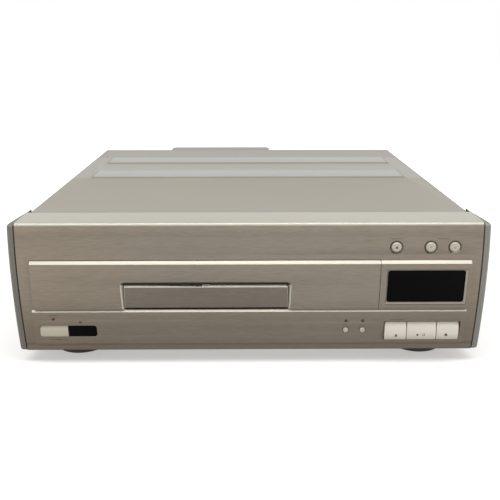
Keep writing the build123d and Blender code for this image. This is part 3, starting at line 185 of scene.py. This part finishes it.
def fadedColour(tree, colour, axis, start, end, tone):
    # Multiplies the colour by a tone that comes in softly from start to end along one axis, in mm
    place = tree.nodes.new("ShaderNodeTexCoord")
    parts = tree.nodes.new("ShaderNodeSeparateXYZ")
    tree.links.new(place.outputs["Object"], parts.inputs["Vector"])
    ramp = tree.nodes.new("ShaderNodeMapRange")
    ramp.interpolation_type = "SMOOTHSTEP"
    ramp.inputs["From Min"].default_value = start * mm
    ramp.inputs["From Max"].default_value = end * mm
    tree.links.new(parts.outputs[axis], ramp.inputs["Value"])
    mix = tree.nodes.new("ShaderNodeMix")
    mix.data_type = "RGBA"
    mix.blend_type = "MULTIPLY"
    tree.links.new(ramp.outputs["Result"], mix.inputs["Factor"])
    sockets = {entry.name: entry for entry in mix.inputs if entry.type == "RGBA"}
    tree.links.new(colour, sockets["A"])
    sockets["B"].default_value = (*tone, 1.0)
    return [entry for entry in mix.outputs if entry.type == "RGBA"][0]


def makeFinish(name, look):
    # One material of the object: two tones, the grain between them, and the shader's plain values
    material = bpy.data.materials.new(name)
    material.use_nodes = True
    tree = material.node_tree
    shader = tree.nodes["Principled BSDF"]
    group, main = grains[look["grain"]]
    grain = tree.nodes.new("ShaderNodeGroup")
    grain.node_tree = group
    for title, value in look.get("grainSize", {}).items():
        grain.inputs[title].default_value = value
    fine, cloud = grain.outputs[main], grain.outputs["Cloud"]
    share = blendValues(tree, fine, cloud, look.get("cloudShare", 0.4))
    colour = mixColours(tree, share, fromScreen(*look["dark"]), fromScreen(*look["light"]))
    for axis, start, end, tone in look.get("fades", ()):
        colour = fadedColour(tree, colour, axis, start, end, tone)
    tree.links.new(colour, shader.inputs["Base Color"])
    roughness = tree.nodes.new("ShaderNodeMapRange")
    roughness.inputs["To Min"].default_value, roughness.inputs["To Max"].default_value = look["rough"]
    tree.links.new(share, roughness.inputs["Value"])
    tree.links.new(roughness.outputs["Result"], shader.inputs["Roughness"])
    if look.get("bump", 0) > 0:
        bump = tree.nodes.new("ShaderNodeBump")
        bump.inputs["Strength"].default_value = bumpStrength
        bump.inputs["Distance"].default_value = look["bump"] * mm
        tree.links.new(fine, bump.inputs["Height"])
        tree.links.new(bump.outputs["Normal"], shader.inputs["Normal"])
    for title, value in look.get("shader", {}).items():
        shader.inputs[title].default_value = value
    return material


# Every finish of the object, and the painted highlights, shade and reflections: tones as screen colours,
# rough as lowest and highest, bump in mm
looks = {
    "brushed_front": {"grain": "brushed", "dark": (109, 102, 92), "light": (133, 126, 115), "cloudShare": 0.3,
                      "rough": (0.32, 0.46), "bump": 0.015,
                      # The fades paint light and shade: darker towards the bottom, painted shade towards the
                      # right and warmer painted light towards the left, a painted highlight towards the
                      # rounded top edge, and a painted shadow band under the lower fascia, from about 22 to
                      # 18 mm up
                      "fades": [("Z", 75, 25, (0.78, 0.76, 0.74)), ("X", 60, 190, (0.97, 0.93, 0.9)),
                                ("X", -60, -190, (1.04, 0.99, 0.93)), ("Z", 127, 137, (1.3, 1.28, 1.24)),
                                ("Z", 22.4, 21.2, (0.74, 0.73, 0.72)), ("Z", 20, 17.5, (1.3, 1.3, 1.3))],
                      "shader": {"Metallic": 0.75, "Anisotropic": 0.4}},
    "smallFront": {"grain": "brushed", "dark": (94, 87, 79), "light": (116, 108, 98), "cloudShare": 0.25,
                   "rough": (0.32, 0.46), "bump": 0.015, "shader": {"Metallic": 0.75, "Anisotropic": 0.4}},
    # A lighter copy of the front's finish, painted light for faces that look up
    "topStripPaintedLight": {"grain": "brushed", "dark": (166, 162, 150), "light": (184, 180, 168), "cloudShare": 0.3,
                 "rough": (0.34, 0.46), "bump": 0.01, "shader": {"Metallic": 0.5}},
    # A painted highlight for bevels and edges that face the light
    "paintedHighlight": {"grain": "brushed", "dark": (178, 173, 159), "light": (198, 193, 179), "cloudShare": 0.3,
                "rough": (0.4, 0.48), "shader": {"Metallic": 0.4, "Specular IOR Level": 0.4}},
    # A darker copy of the satin silver, painted shade that deepens towards the left
    "cheekSilverPaintedShade": {"grain": "spray", "dark": (118, 116, 110), "light": (130, 128, 122), "cloudShare": 0.5,
                    "rough": (0.42, 0.54), "bump": 0.01, "fades": [("X", 120, -200, (0.72, 0.7, 0.66))],
                    "shader": {"Metallic": 0.3}},
    # A painted highlight for the lit walls of the display window's opening
    "frameLit": {"grain": "brushed", "dark": (132, 126, 115), "light": (152, 146, 134), "cloudShare": 0.3,
                 "rough": (0.34, 0.46), "shader": {"Metallic": 0.6}},
    # A lighter, bluer copy of the cover's finish, a painted reflection on the rib tops
    "ribTopPaintedReflection": {"grain": "spray", "dark": (158, 159, 154), "light": (170, 171, 166), "cloudShare": 0.5,
               "rough": (0.36, 0.48), "bump": 0.01, "shader": {"Metallic": 0.4}},
    # Painted shade on the side and bottom bevels of the keys and on the ends of the cover's ribs
    "paintedShadeRim": {"grain": "spray", "dark": (104, 97, 87), "light": (122, 115, 104), "cloudShare": 0.5,
               "rough": (0.4, 0.5), "shader": {"Metallic": 0.3}},
    # Painted shade, in the sunk rings and round the display window's opening
    "dimpleShade": {"grain": "spray", "dark": (70, 64, 57), "light": (92, 86, 78), "cloudShare": 0.5,
                    "rough": (0.3, 0.4), "shader": {"Metallic": 0.75}},
    # Painted shade on the folds down the cover's long sides
    "foldShade": {"grain": "spray", "dark": (66, 60, 54), "light": (88, 82, 74), "cloudShare": 0.5,
                  "rough": (0.35, 0.5), "shader": {"Metallic": 0.5}},
    "satin_silver": {"grain": "spray", "dark": (150, 147, 138), "light": (168, 165, 156), "cloudShare": 0.5,
                     "rough": (0.40, 0.52), "bump": 0.01, "shader": {"Metallic": 0.35}},
    "silver_steel": {"grain": "spray", "dark": (140, 134, 121), "light": (152, 147, 133), "cloudShare": 0.6,
                     "rough": (0.36, 0.48), "bump": 0.01, "shader": {"Metallic": 0.4}},
    # The cover top's own finish, lighter and bluer behind Y = -12 mm as a painted reflection, and darker over
    # the last part at the rear
    "coverTopPaintedReflection": {"grain": "spray", "dark": (141, 135, 122), "light": (153, 148, 134), "cloudShare": 0.6,
                 "rough": (0.36, 0.48), "bump": 0.01,
                 "fades": [("Y", -18, -12, (1.12, 1.18, 1.28)), ("Y", 126, 132, (0.86, 0.83, 0.8))],
                 "shader": {"Metallic": 0.4}},
    "bright_screw": {"grain": "turned", "dark": (150, 147, 138), "light": (190, 187, 178),
                     "rough": (0.25, 0.4), "bump": 0.02, "shader": {"Metallic": 1.0}},
    "zinc_steel": {"grain": "spray", "dark": (148, 152, 156), "light": (188, 191, 194), "cloudShare": 0.7,
                   "rough": (0.3, 0.5), "bump": 0.01, "shader": {"Metallic": 0.9}},
    "dark_steel": {"grain": "spray", "dark": (42, 42, 43), "light": (58, 58, 59),
                   "rough": (0.5, 0.65), "bump": 0.03},
    "dark_plastic": {"grain": "mould", "dark": (48, 47, 46), "light": (66, 65, 63),
                     "rough": (0.5, 0.65), "bump": 0.04},
    "black_plastic": {"grain": "mould", "dark": (24, 24, 25), "light": (38, 38, 39),
                      "rough": (0.42, 0.58), "bump": 0.03},
    "foot_rubber": {"grain": "mould", "dark": (34, 34, 34), "light": (50, 49, 48),
                    "rough": (0.75, 0.9), "bump": 0.05},
    "dark_window": {"grain": "spray", "dark": (4, 4, 6), "light": (7, 7, 10), "cloudShare": 0.8,
                    "rough": (0.06, 0.14), "shader": {"Specular IOR Level": 0.035}},
    "tube_glass": {"grain": "mould", "dark": (30, 42, 38), "light": (50, 66, 60), "rough": (0.08, 0.2)},
    "red_lamp": {"grain": "spray", "dark": (70, 26, 20), "light": (98, 36, 28), "rough": (0.15, 0.3)},
    "circuit_board": {"grain": "mould", "grainSize": {"Fineness": 260.0}, "dark": (28, 78, 44),
                      "light": (48, 118, 66), "rough": (0.25, 0.4), "bump": 0.02},
    "white_plastic": {"grain": "mould", "dark": (210, 206, 194), "light": (228, 225, 214),
                      "rough": (0.4, 0.55), "bump": 0.02},
    "brass_pulley": {"grain": "turned", "dark": (176, 146, 84), "light": (212, 184, 118),
                     "rough": (0.22, 0.36), "bump": 0.02, "shader": {"Metallic": 1.0}},
    "motor_steel": {"grain": "turned", "dark": (150, 150, 149), "light": (190, 190, 188),
                    "rough": (0.28, 0.42), "bump": 0.02, "shader": {"Metallic": 1.0}},
    "aluminium_turntable": {"grain": "turned", "dark": (176, 176, 176), "light": (208, 208, 207),
                            "rough": (0.25, 0.4), "bump": 0.02, "shader": {"Metallic": 1.0}},
    "cast_metal": {"grain": "spray", "grainSize": {"Fineness": 700.0}, "dark": (132, 132, 131),
                   "light": (172, 172, 170), "rough": (0.5, 0.7), "bump": 0.06, "shader": {"Metallic": 0.85}},
    "lens_glass": {"grain": "spray", "dark": (70, 84, 132), "light": (96, 112, 164),
                   "rough": (0.04, 0.08), "shader": {"Coat Weight": 1.0}},
    "component_black": {"grain": "mould", "dark": (28, 28, 31), "light": (46, 46, 50),
                        "rough": (0.35, 0.55), "bump": 0.02},
    "coil_tape": {"grain": "brushed", "grainSize": {"Along": 900.0, "Across": 60.0}, "dark": (176, 138, 48),
                  "light": (206, 168, 74), "rough": (0.3, 0.5), "bump": 0.02},
    "jack_metal": {"grain": "turned", "dark": (176, 174, 168), "light": (214, 212, 206),
                   "rough": (0.2, 0.32), "bump": 0.01, "shader": {"Metallic": 1.0}},
    "pale_key": {"grain": "spray", "dark": (214, 207, 194), "light": (224, 217, 205), "cloudShare": 0.5,
                 # The fade paints shade on the lower part of the keys
                 "rough": (0.32, 0.42), "bump": 0.005, "fades": [("Z", 33, 28, (0.86, 0.84, 0.81))],
                 "shader": {"Coat Weight": 0.15}},
    "button_silver": {"grain": "spray", "dark": (168, 161, 144), "light": (184, 177, 160), "cloudShare": 0.5,
                      "rough": (0.28, 0.4), "bump": 0.005, "shader": {"Metallic": 0.3}},
    "printedMark": {"grain": "spray", "dark": (52, 49, 45), "light": (70, 66, 61), "rough": (0.5, 0.65)},
    # The dark seam between a cheek and the panel, and painted shade on bevels that look down
    "darkJointAndShade": {"grain": "spray", "dark": (38, 27, 22), "light": (54, 40, 33), "rough": (0.7, 0.85)},
}
finishes = {name: makeFinish(name, look) for name, look in looks.items()}
print("finishes made:", len(finishes))

# Every CAD node gets the finish of the slot that its own material is named after
slotOf = {}
for name, node in nodes.items():
    slotOf[name] = node.data.materials[0].name.split(".")[0]
    node.data.materials.clear()
    node.data.materials.append(finishes[slotOf[name]])
print("nodes finished:", len(slotOf))


# How meshes are cleaned and broken: mergeGap in mm, the angles in degrees
meshing = {
    "mergeGap": 0.002,
    "flatAngle": 0.2,
    "sharpAngle": 35,
    "softSegments": 2,
    "smoothUpTo": 30,
    "dressedSmoothUpTo": 28,
}


def finishedPiece(name, mesh, look, body, replaced=(), smoothUpTo=meshing["smoothUpTo"]):
    # Turns a bmesh into a piece that rides on a body
    bmesh.ops.recalc_face_normals(mesh, faces=mesh.faces)
    data = bpy.data.meshes.new(name)
    for edge in mesh.edges:
        edge.smooth = len(edge.link_faces) == 2 and edge.calc_face_angle(0) < math.radians(smoothUpTo)
    for face in mesh.faces:
        face.smooth = True
    mesh.to_mesh(data)
    mesh.free()
    piece = bpy.data.objects.new(name, data)
    bpy.context.scene.collection.objects.link(piece)
    data.materials.append(finishes[look])
    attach(piece, body)
    if replaced:
        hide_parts(*replaced)
    return piece


def mergedCopy(nodeName):
    mesh = bmesh.new()
    mesh.from_mesh(nodes[nodeName].data)
    bmesh.ops.remove_doubles(mesh, verts=mesh.verts, dist=meshing["mergeGap"] * mm)
    bmesh.ops.dissolve_limit(mesh, angle_limit=math.radians(meshing["flatAngle"]), verts=mesh.verts,
                             edges=mesh.edges)
    return mesh


def isSharp(edge):
    return edge.calc_face_angle(0) > math.radians(meshing["sharpAngle"])


def bevelled(mesh, width, segments, test):
    # Bevels only the edges that pass the test, and gives back the new faces
    picked = [edge for edge in mesh.edges if len(edge.link_faces) == 2 and test(edge)]
    cut = bmesh.ops.bevel(mesh, geom=picked, offset=width * mm, offset_type="OFFSET", segments=segments,
                          profile=0.5, affect="EDGES", material=-1, clamp_overlap=True)
    mesh.normal_update()
    return cut["faces"]


# The case and the front: how far the edges of each piece are broken, in mm
softEdges = {
    "front_panel": 0.35,
    "left_cheek": 0.5,
    "right_cheek": 0.5,
    "large_drawer_front": 0.6,
    "small_drawer_front": 0.4,
    "lower_fascia": 0.7,
    "display_bezel": 0.6,
    "display_window": 0.25,
    "remote_window": 0.25,
    "open_key": 0.5,
    "play_key": 0.5,
    "stop_key": 0.5,
    "power_button": 0.4,
    "rear_housing": 0.6,
}
# The pieces whose near bevels get a painted highlight
paintedHighlightNodes = ("large_drawer_front", "small_drawer_front", "lower_fascia", "display_bezel")
shadedRimKeys = ("open_key", "play_key", "stop_key", "power_button")
# The finishes that a dressed piece may carry after its own one, most of them painted highlights, shade and
# reflections
extraFinishesAndPaintedLight = ("paintedHighlight", "topStripPaintedLight", "dimpleShade", "darkJointAndShade", "foldShade", "ribTopPaintedReflection", "paintedShadeRim",
                 "coverTopPaintedReflection")
ownFinish = {
    "small_drawer_front": "smallFront",
    "power_button": "button_silver",
    "left_cheek": "cheekSilverPaintedShade",
    "right_cheek": "cheekSilverPaintedShade",
}
# Where the finishes change, in mm, and the tilts at which they do, in degrees or as a part of a normal
front = {
    "seamX": 213.5,
    "seamReach": 0.05,
    "seamWidth": 0.8,
    "bevelDepth": 4.0,
    "slantFrom": 25,
    "slantTo": 70,
    "cutTo": 80,
    "undersideFrom": -0.3,
    "rimFlat": 0.9,
    "rimTop": 0.5,
    "stripBottom": 130.0,
    "stripTilt": 0.35,
}
dimples = {
    "xs": (134.0, 165.4, 187.3),
    "z": 117.0,
    "reach": 6.7,
    "above": 7,
    "litFrom": 4.5,
}
cover = {
    "ribBase": 140.3,
    "topTilt": 0.95,
    "ribEndTilt": 0.4,
    "foldFrom": 205.0,
    "foldBase": 134.0,
    "foldTilts": (0.1, 0.98),
}


def finishNumber(name):
    return 1 + extraFinishesAndPaintedLight.index(name)


def dressed(node, mesh):
    piece = finishedPiece(node + "Dressed", mesh, ownFinish.get(node, slotOf[node]), bodyOf[node],
                          (node,), meshing["dressedSmoothUpTo"])
    for name in extraFinishesAndPaintedLight:
        piece.data.materials.append(finishes[name])
    return piece


def isSeamEdge(edge):
    # On the line where a cheek meets the panel, on the outside
    reach = front["seamReach"] * mm
    return all(abs(abs(vert.co.x) - front["seamX"] * mm) < reach for vert in edge.verts) and isSharp(edge)


def shadeDimples(mesh):
    # Paints shade on the sunk rings round the buttons, and a painted highlight at their lower right
    for face in mesh.faces:
        middle = face.calc_center_median() / mm
        up = middle.z - dimples["z"]
        for x in dimples["xs"]:
            right = middle.x - x
            if math.hypot(right, up) < dimples["reach"] and up < dimples["above"]:
                lit = right - up > dimples["litFrom"]
                face.material_index = finishNumber("paintedHighlight" if lit else "dimpleShade")


def paintCutHighlights(mesh, cut, near):
    # Paints a highlight on the bevels on the near side, and painted shade on those that look down
    for face in mesh.faces:
        tilt = math.degrees(face.normal.angle(Vector((0, -1, 0))))
        slanted = face in cut or front["slantFrom"] < tilt < front["slantTo"]
        outside = face.calc_center_median().y < near and tilt < front["cutTo"]
        if face.material_index == 0 and slanted and outside:
            looksDown = face.normal.z <= front["undersideFrom"]
            face.material_index = finishNumber("darkJointAndShade" if looksDown else "paintedHighlight")


def dressNode(node):
    # A copy of the CAD node with its edges broken, and painted highlights and shade on its cuts
    mesh = mergedCopy(node)
    if node in ("front_panel", "left_cheek", "right_cheek"):
        for face in bevelled(mesh, front["seamWidth"], 1, isSeamEdge):
            face.material_index = finishNumber("darkJointAndShade")
    cut = set(bevelled(mesh, softEdges[node], meshing["softSegments"], isSharp))
    if node in paintedHighlightNodes:
        paintCutHighlights(mesh, cut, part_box(node)[0].y + front["bevelDepth"] * mm)
    # Painted shade on the side and bottom bevels of the keys
    if node in shadedRimKeys:
        for face in cut:
            if abs(face.normal.y) < front["rimFlat"] and face.normal.z < front["rimTop"]:
                face.material_index = finishNumber("paintedShadeRim")
    if node == "front_panel":
        # The faces that look up on the flat top and the rounded edge in front of it get a lighter colour,
        # painted light
        for face in mesh.faces:
            high = face.calc_center_median().z > front["stripBottom"] * mm
            if face.material_index == 0 and face.normal.z > front["stripTilt"] and high:
                face.material_index = finishNumber("topStripPaintedLight")
        shadeDimples(mesh)
    return dressed(node, mesh)


def dressCover():
    # Paints shade on the folds down its long sides and on the rib ends, and a painted reflection on the rib
    # tops and on the cover top behind the front
    mesh = mergedCopy("top_cover")
    low, high = cover["foldTilts"]
    for face in mesh.faces:
        middle = face.calc_center_median() / mm
        across = abs(face.normal.x)
        flat = face.normal.z > cover["topTilt"]
        if middle.z > cover["ribBase"]:
            if flat:
                face.material_index = finishNumber("ribTopPaintedReflection")
            elif across > cover["ribEndTilt"]:
                face.material_index = finishNumber("paintedShadeRim")
        elif middle.z > cover["foldBase"] and abs(middle.x) > cover["foldFrom"] and low < across < high:
            face.material_index = finishNumber("foldShade")
        elif flat:
            face.material_index = finishNumber("coverTopPaintedReflection")
    return dressed("top_cover", mesh)


pieces = {node: dressNode(node) for node in softEdges}
pieces["top_cover"] = dressCover()
print("case and front dressed:", len(pieces))


# Printed marks, and painted highlight and shade strips round the display window, each an outline in X and Z
# that lies on the face of its piece, in mm
printedAndPaintedLight = {
    "proud": 0.04,
    "depth": 0.1,
    "columnStep": 2.5,
    "discCorners": 24,
}


def disc(x, z, radius):
    corners = printedAndPaintedLight["discCorners"]
    turns = [2 * math.pi * k / corners for k in range(corners)]
    return [(x + radius * math.cos(turn), z + radius * math.sin(turn)) for turn in turns]


def bar(x, z, width, height):
    return [(x - width / 2, z - height / 2), (x + width / 2, z - height / 2),
            (x + width / 2, z + height / 2), (x - width / 2, z + height / 2)]


def column(x, low, high, width):
    # Short bars one over the other, so that a tall line follows the curved front
    count = math.ceil((high - low) / printedAndPaintedLight["columnStep"])
    step = (high - low) / count
    return [bar(x, low + (k + 0.5) * step, width, step) for k in range(count)]


# Each is laid on a node: its look and its outlines
marks = [
    ("open_key", "printedMark", [[(137.0, 30.0), (139.8, 30.0), (138.4, 32.4)], bar(138.4, 29.4, 2.8, 0.5)]),
    ("play_key", "printedMark", [[(157.9, 29.7), (157.9, 32.5), (160.3, 31.1)],
                                 bar(163.8, 31.1, 0.6, 2.4), bar(165.2, 31.1, 0.6, 2.4)]),
    ("stop_key", "printedMark", [bar(185.7, 31.1, 2.4, 2.4)]),
    ("round_button_1", "printedMark", [disc(134.0, 117.0, 1.1)]),
    ("round_button_2", "printedMark", [bar(165.4, 117.0, 1.6, 0.4), bar(165.4, 117.8, 0.8, 0.4)]),
    ("round_button_3", "printedMark", [bar(187.3, 117.0, 1.6, 0.4), bar(187.3, 116.2, 0.8, 0.4)]),
    ("lower_fascia", "printedMark", [bar(90.5, 41.0, 6.0, 0.35), bar(106.3, 41.0, 6.0, 0.35),
                                     bar(-158.5, 45.0, 2.4, 2.4), bar(-183.5, 52.4, 8.0, 0.35),
                                     bar(-183.8, 26.6, 12.0, 0.35), bar(138.4, 46.6, 14.0, 0.35)]),
    # A painted highlight along the right and bottom of the display window's opening
    ("display_bezel", "frameLit", column(199.6, 62.9, 97.2, 1.9) + [bar(162.4, 63.7, 72.4, 1.7)]),
    ("front_panel", "printedMark", [bar(134.0, 125.0, 11.0, 0.4), bar(176.4, 125.0, 10.0, 0.4)]),
    # Painted shade lines round the display window's opening
    ("display_bezel", "dimpleShade", column(200.8, 62.2, 97.6, 0.5) + column(126.3, 62.2, 97.6, 0.6)
     + [bar(163.5, 96.6, 74.0, 0.6), bar(163.5, 62.4, 74.0, 0.5)]),
]


def printAndPaintLightOn(node, look, outlines):
    base = pieces.get(node) or nodes[node]
    tree = BVHTree.FromPolygons([vert.co for vert in base.data.vertices],
                                [list(face.vertices) for face in base.data.polygons])
    mesh = bmesh.new()
    for outline in outlines:
        corners = []
        for x, z in outline:
            hit = tree.ray_cast(Vector((x * mm, -1.0, z * mm)), Vector((0, 1, 0)))[0]
            corners.append(mesh.verts.new((hit.x, hit.y - printedAndPaintedLight["proud"] * mm, hit.z)))
        face = mesh.faces.new(corners)
        body = bmesh.ops.extrude_face_region(mesh, geom=[face])
        moved = [item for item in body["geom"] if isinstance(item, bmesh.types.BMVert)]
        bmesh.ops.translate(mesh, verts=moved, vec=(0, printedAndPaintedLight["depth"] * mm, 0))
    return finishedPiece(node + "Marks", mesh, look, bodyOf[node])


for node, look, outlines in marks:
    printAndPaintLightOn(node, look, outlines)
print("groups of marks printed:", len(marks))


# Camera, lights and floor: metres, degrees and watts
view = {
    "place": (-0.0047, -0.8098, 0.2984),
    "pitchDown": 17.35,
    "turnRight": 0.49,
    "focal": 48.67,
    "sensor": 36.0,
}


def setCamera():
    camera = bpy.data.objects.new("camera", bpy.data.cameras.new("camera"))
    bpy.context.scene.collection.objects.link(camera)
    camera.location = view["place"]
    camera.rotation_euler = (math.radians(90 - view["pitchDown"]), 0, -math.radians(view["turnRight"]))
    camera.data.sensor_width = view["sensor"]
    camera.data.lens = view["focal"]
    camera.data.clip_start = 0.01
    bpy.context.scene.camera = camera


studio = {
    "worldStrength": 0.45,
    "lamps": [
        # name, place, what it points at, width, depth, watts
        ("overhead", (0.0, -0.55, 1.35), (0.0, -0.15, 0.1), 2.6, 0.55, 20.0),
        ("leftSide", (-1.5, -0.5, 0.5), (-0.1, -0.1, 0.08), 0.5, 1.0, 2.0),
        ("rightSide", (1.5, -0.5, 0.5), (0.1, -0.1, 0.08), 0.5, 1.0, 4.0),
    ],
    "floorHalf": 6.0,
    "floorTone": (214, 213, 211),
    "floorRoughness": 0.9,
    "floorGloss": 0.1,
    "floorLift": (0.42, 1.0),
    "liftReach": (0.30, 0.75),
}


def whiteForCamera(tree):
    # 1 where the camera, a gloss or a clear piece looks straight at the surface, otherwise 0
    light = tree.nodes.new("ShaderNodeLightPath")
    seen = light.outputs["Is Camera Ray"]
    for title in ("Is Glossy Ray", "Is Transmission Ray"):
        either = tree.nodes.new("ShaderNodeMath")
        either.operation = "MAXIMUM"
        tree.links.new(seen, either.inputs[0])
        tree.links.new(light.outputs[title], either.inputs[1])
        seen = either.outputs["Value"]
    return seen


def setWorld():
    world = bpy.data.worlds.new("studio")
    bpy.context.scene.world = world
    world.use_nodes = True
    tree = world.node_tree
    plain = tree.nodes["Background"]
    plain.inputs["Color"].default_value = (1.0, 1.0, 1.0, 1.0)
    plain.inputs["Strength"].default_value = studio["worldStrength"]
    white = tree.nodes.new("ShaderNodeBackground")
    white.inputs["Strength"].default_value = 1.0
    white.inputs["Color"].default_value = (1.0, 1.0, 1.0, 1.0)
    mix = tree.nodes.new("ShaderNodeMixShader")
    tree.links.new(whiteForCamera(tree), mix.inputs["Fac"])
    tree.links.new(plain.outputs["Background"], mix.inputs[1])
    tree.links.new(white.outputs["Background"], mix.inputs[2])
    tree.links.new(mix.outputs["Shader"], tree.nodes["World Output"].inputs["Surface"])


def setLamps():
    for name, place, target, width, depth, power in studio["lamps"]:
        lamp = bpy.data.objects.new(name, bpy.data.lights.new(name, "AREA"))
        bpy.context.scene.collection.objects.link(lamp)
        lamp.data.shape = "RECTANGLE"
        lamp.data.size, lamp.data.size_y = width, depth
        lamp.data.energy = power
        lamp.location = place
        lamp.rotation_euler = (Vector(target) - Vector(place)).to_track_quat("-Z", "Y").to_euler()


def setFloor():
    half = studio["floorHalf"]
    mesh = bmesh.new()
    bmesh.ops.create_grid(mesh, x_segments=1, y_segments=1, size=half)
    data = bpy.data.meshes.new("floor")
    mesh.to_mesh(data)
    mesh.free()
    floor = bpy.data.objects.new("floor", data)
    bpy.context.scene.collection.objects.link(floor)
    material = bpy.data.materials.new("floor")
    material.use_nodes = True
    tree = material.node_tree
    shader = tree.nodes["Principled BSDF"]
    shader.inputs["Base Color"].default_value = fromScreen(*studio["floorTone"])
    shader.inputs["Roughness"].default_value = studio["floorRoughness"]
    shader.inputs["Specular IOR Level"].default_value = studio["floorGloss"]
    # Lifts the floor to white for the camera, less near the object so that its shadow stays
    place = tree.nodes.new("ShaderNodeTexCoord")
    away = tree.nodes.new("ShaderNodeVectorMath")
    away.operation = "LENGTH"
    tree.links.new(place.outputs["Object"], away.inputs[0])
    reach = tree.nodes.new("ShaderNodeMapRange")
    reach.interpolation_type = "SMOOTHSTEP"
    reach.inputs["From Min"].default_value, reach.inputs["From Max"].default_value = studio["liftReach"]
    reach.inputs["To Min"].default_value, reach.inputs["To Max"].default_value = studio["floorLift"]
    tree.links.new(away.outputs["Value"], reach.inputs["Value"])
    seen = tree.nodes.new("ShaderNodeMath")
    seen.operation = "MULTIPLY"
    tree.links.new(whiteForCamera(tree), seen.inputs[0])
    tree.links.new(reach.outputs["Result"], seen.inputs[1])
    lift = tree.nodes.new("ShaderNodeEmission")
    tree.links.new(seen.outputs["Value"], lift.inputs["Strength"])
    both = tree.nodes.new("ShaderNodeAddShader")
    tree.links.new(shader.outputs["BSDF"], both.inputs[0])
    tree.links.new(lift.outputs["Emission"], both.inputs[1])
    tree.links.new(both.outputs["Shader"], tree.nodes["Material Output"].inputs["Surface"])
    data.materials.append(material)


setCamera()
setWorld()
setLamps()
setFloor()
bpy.context.scene.view_settings.view_transform = "Standard"
print("studio set")
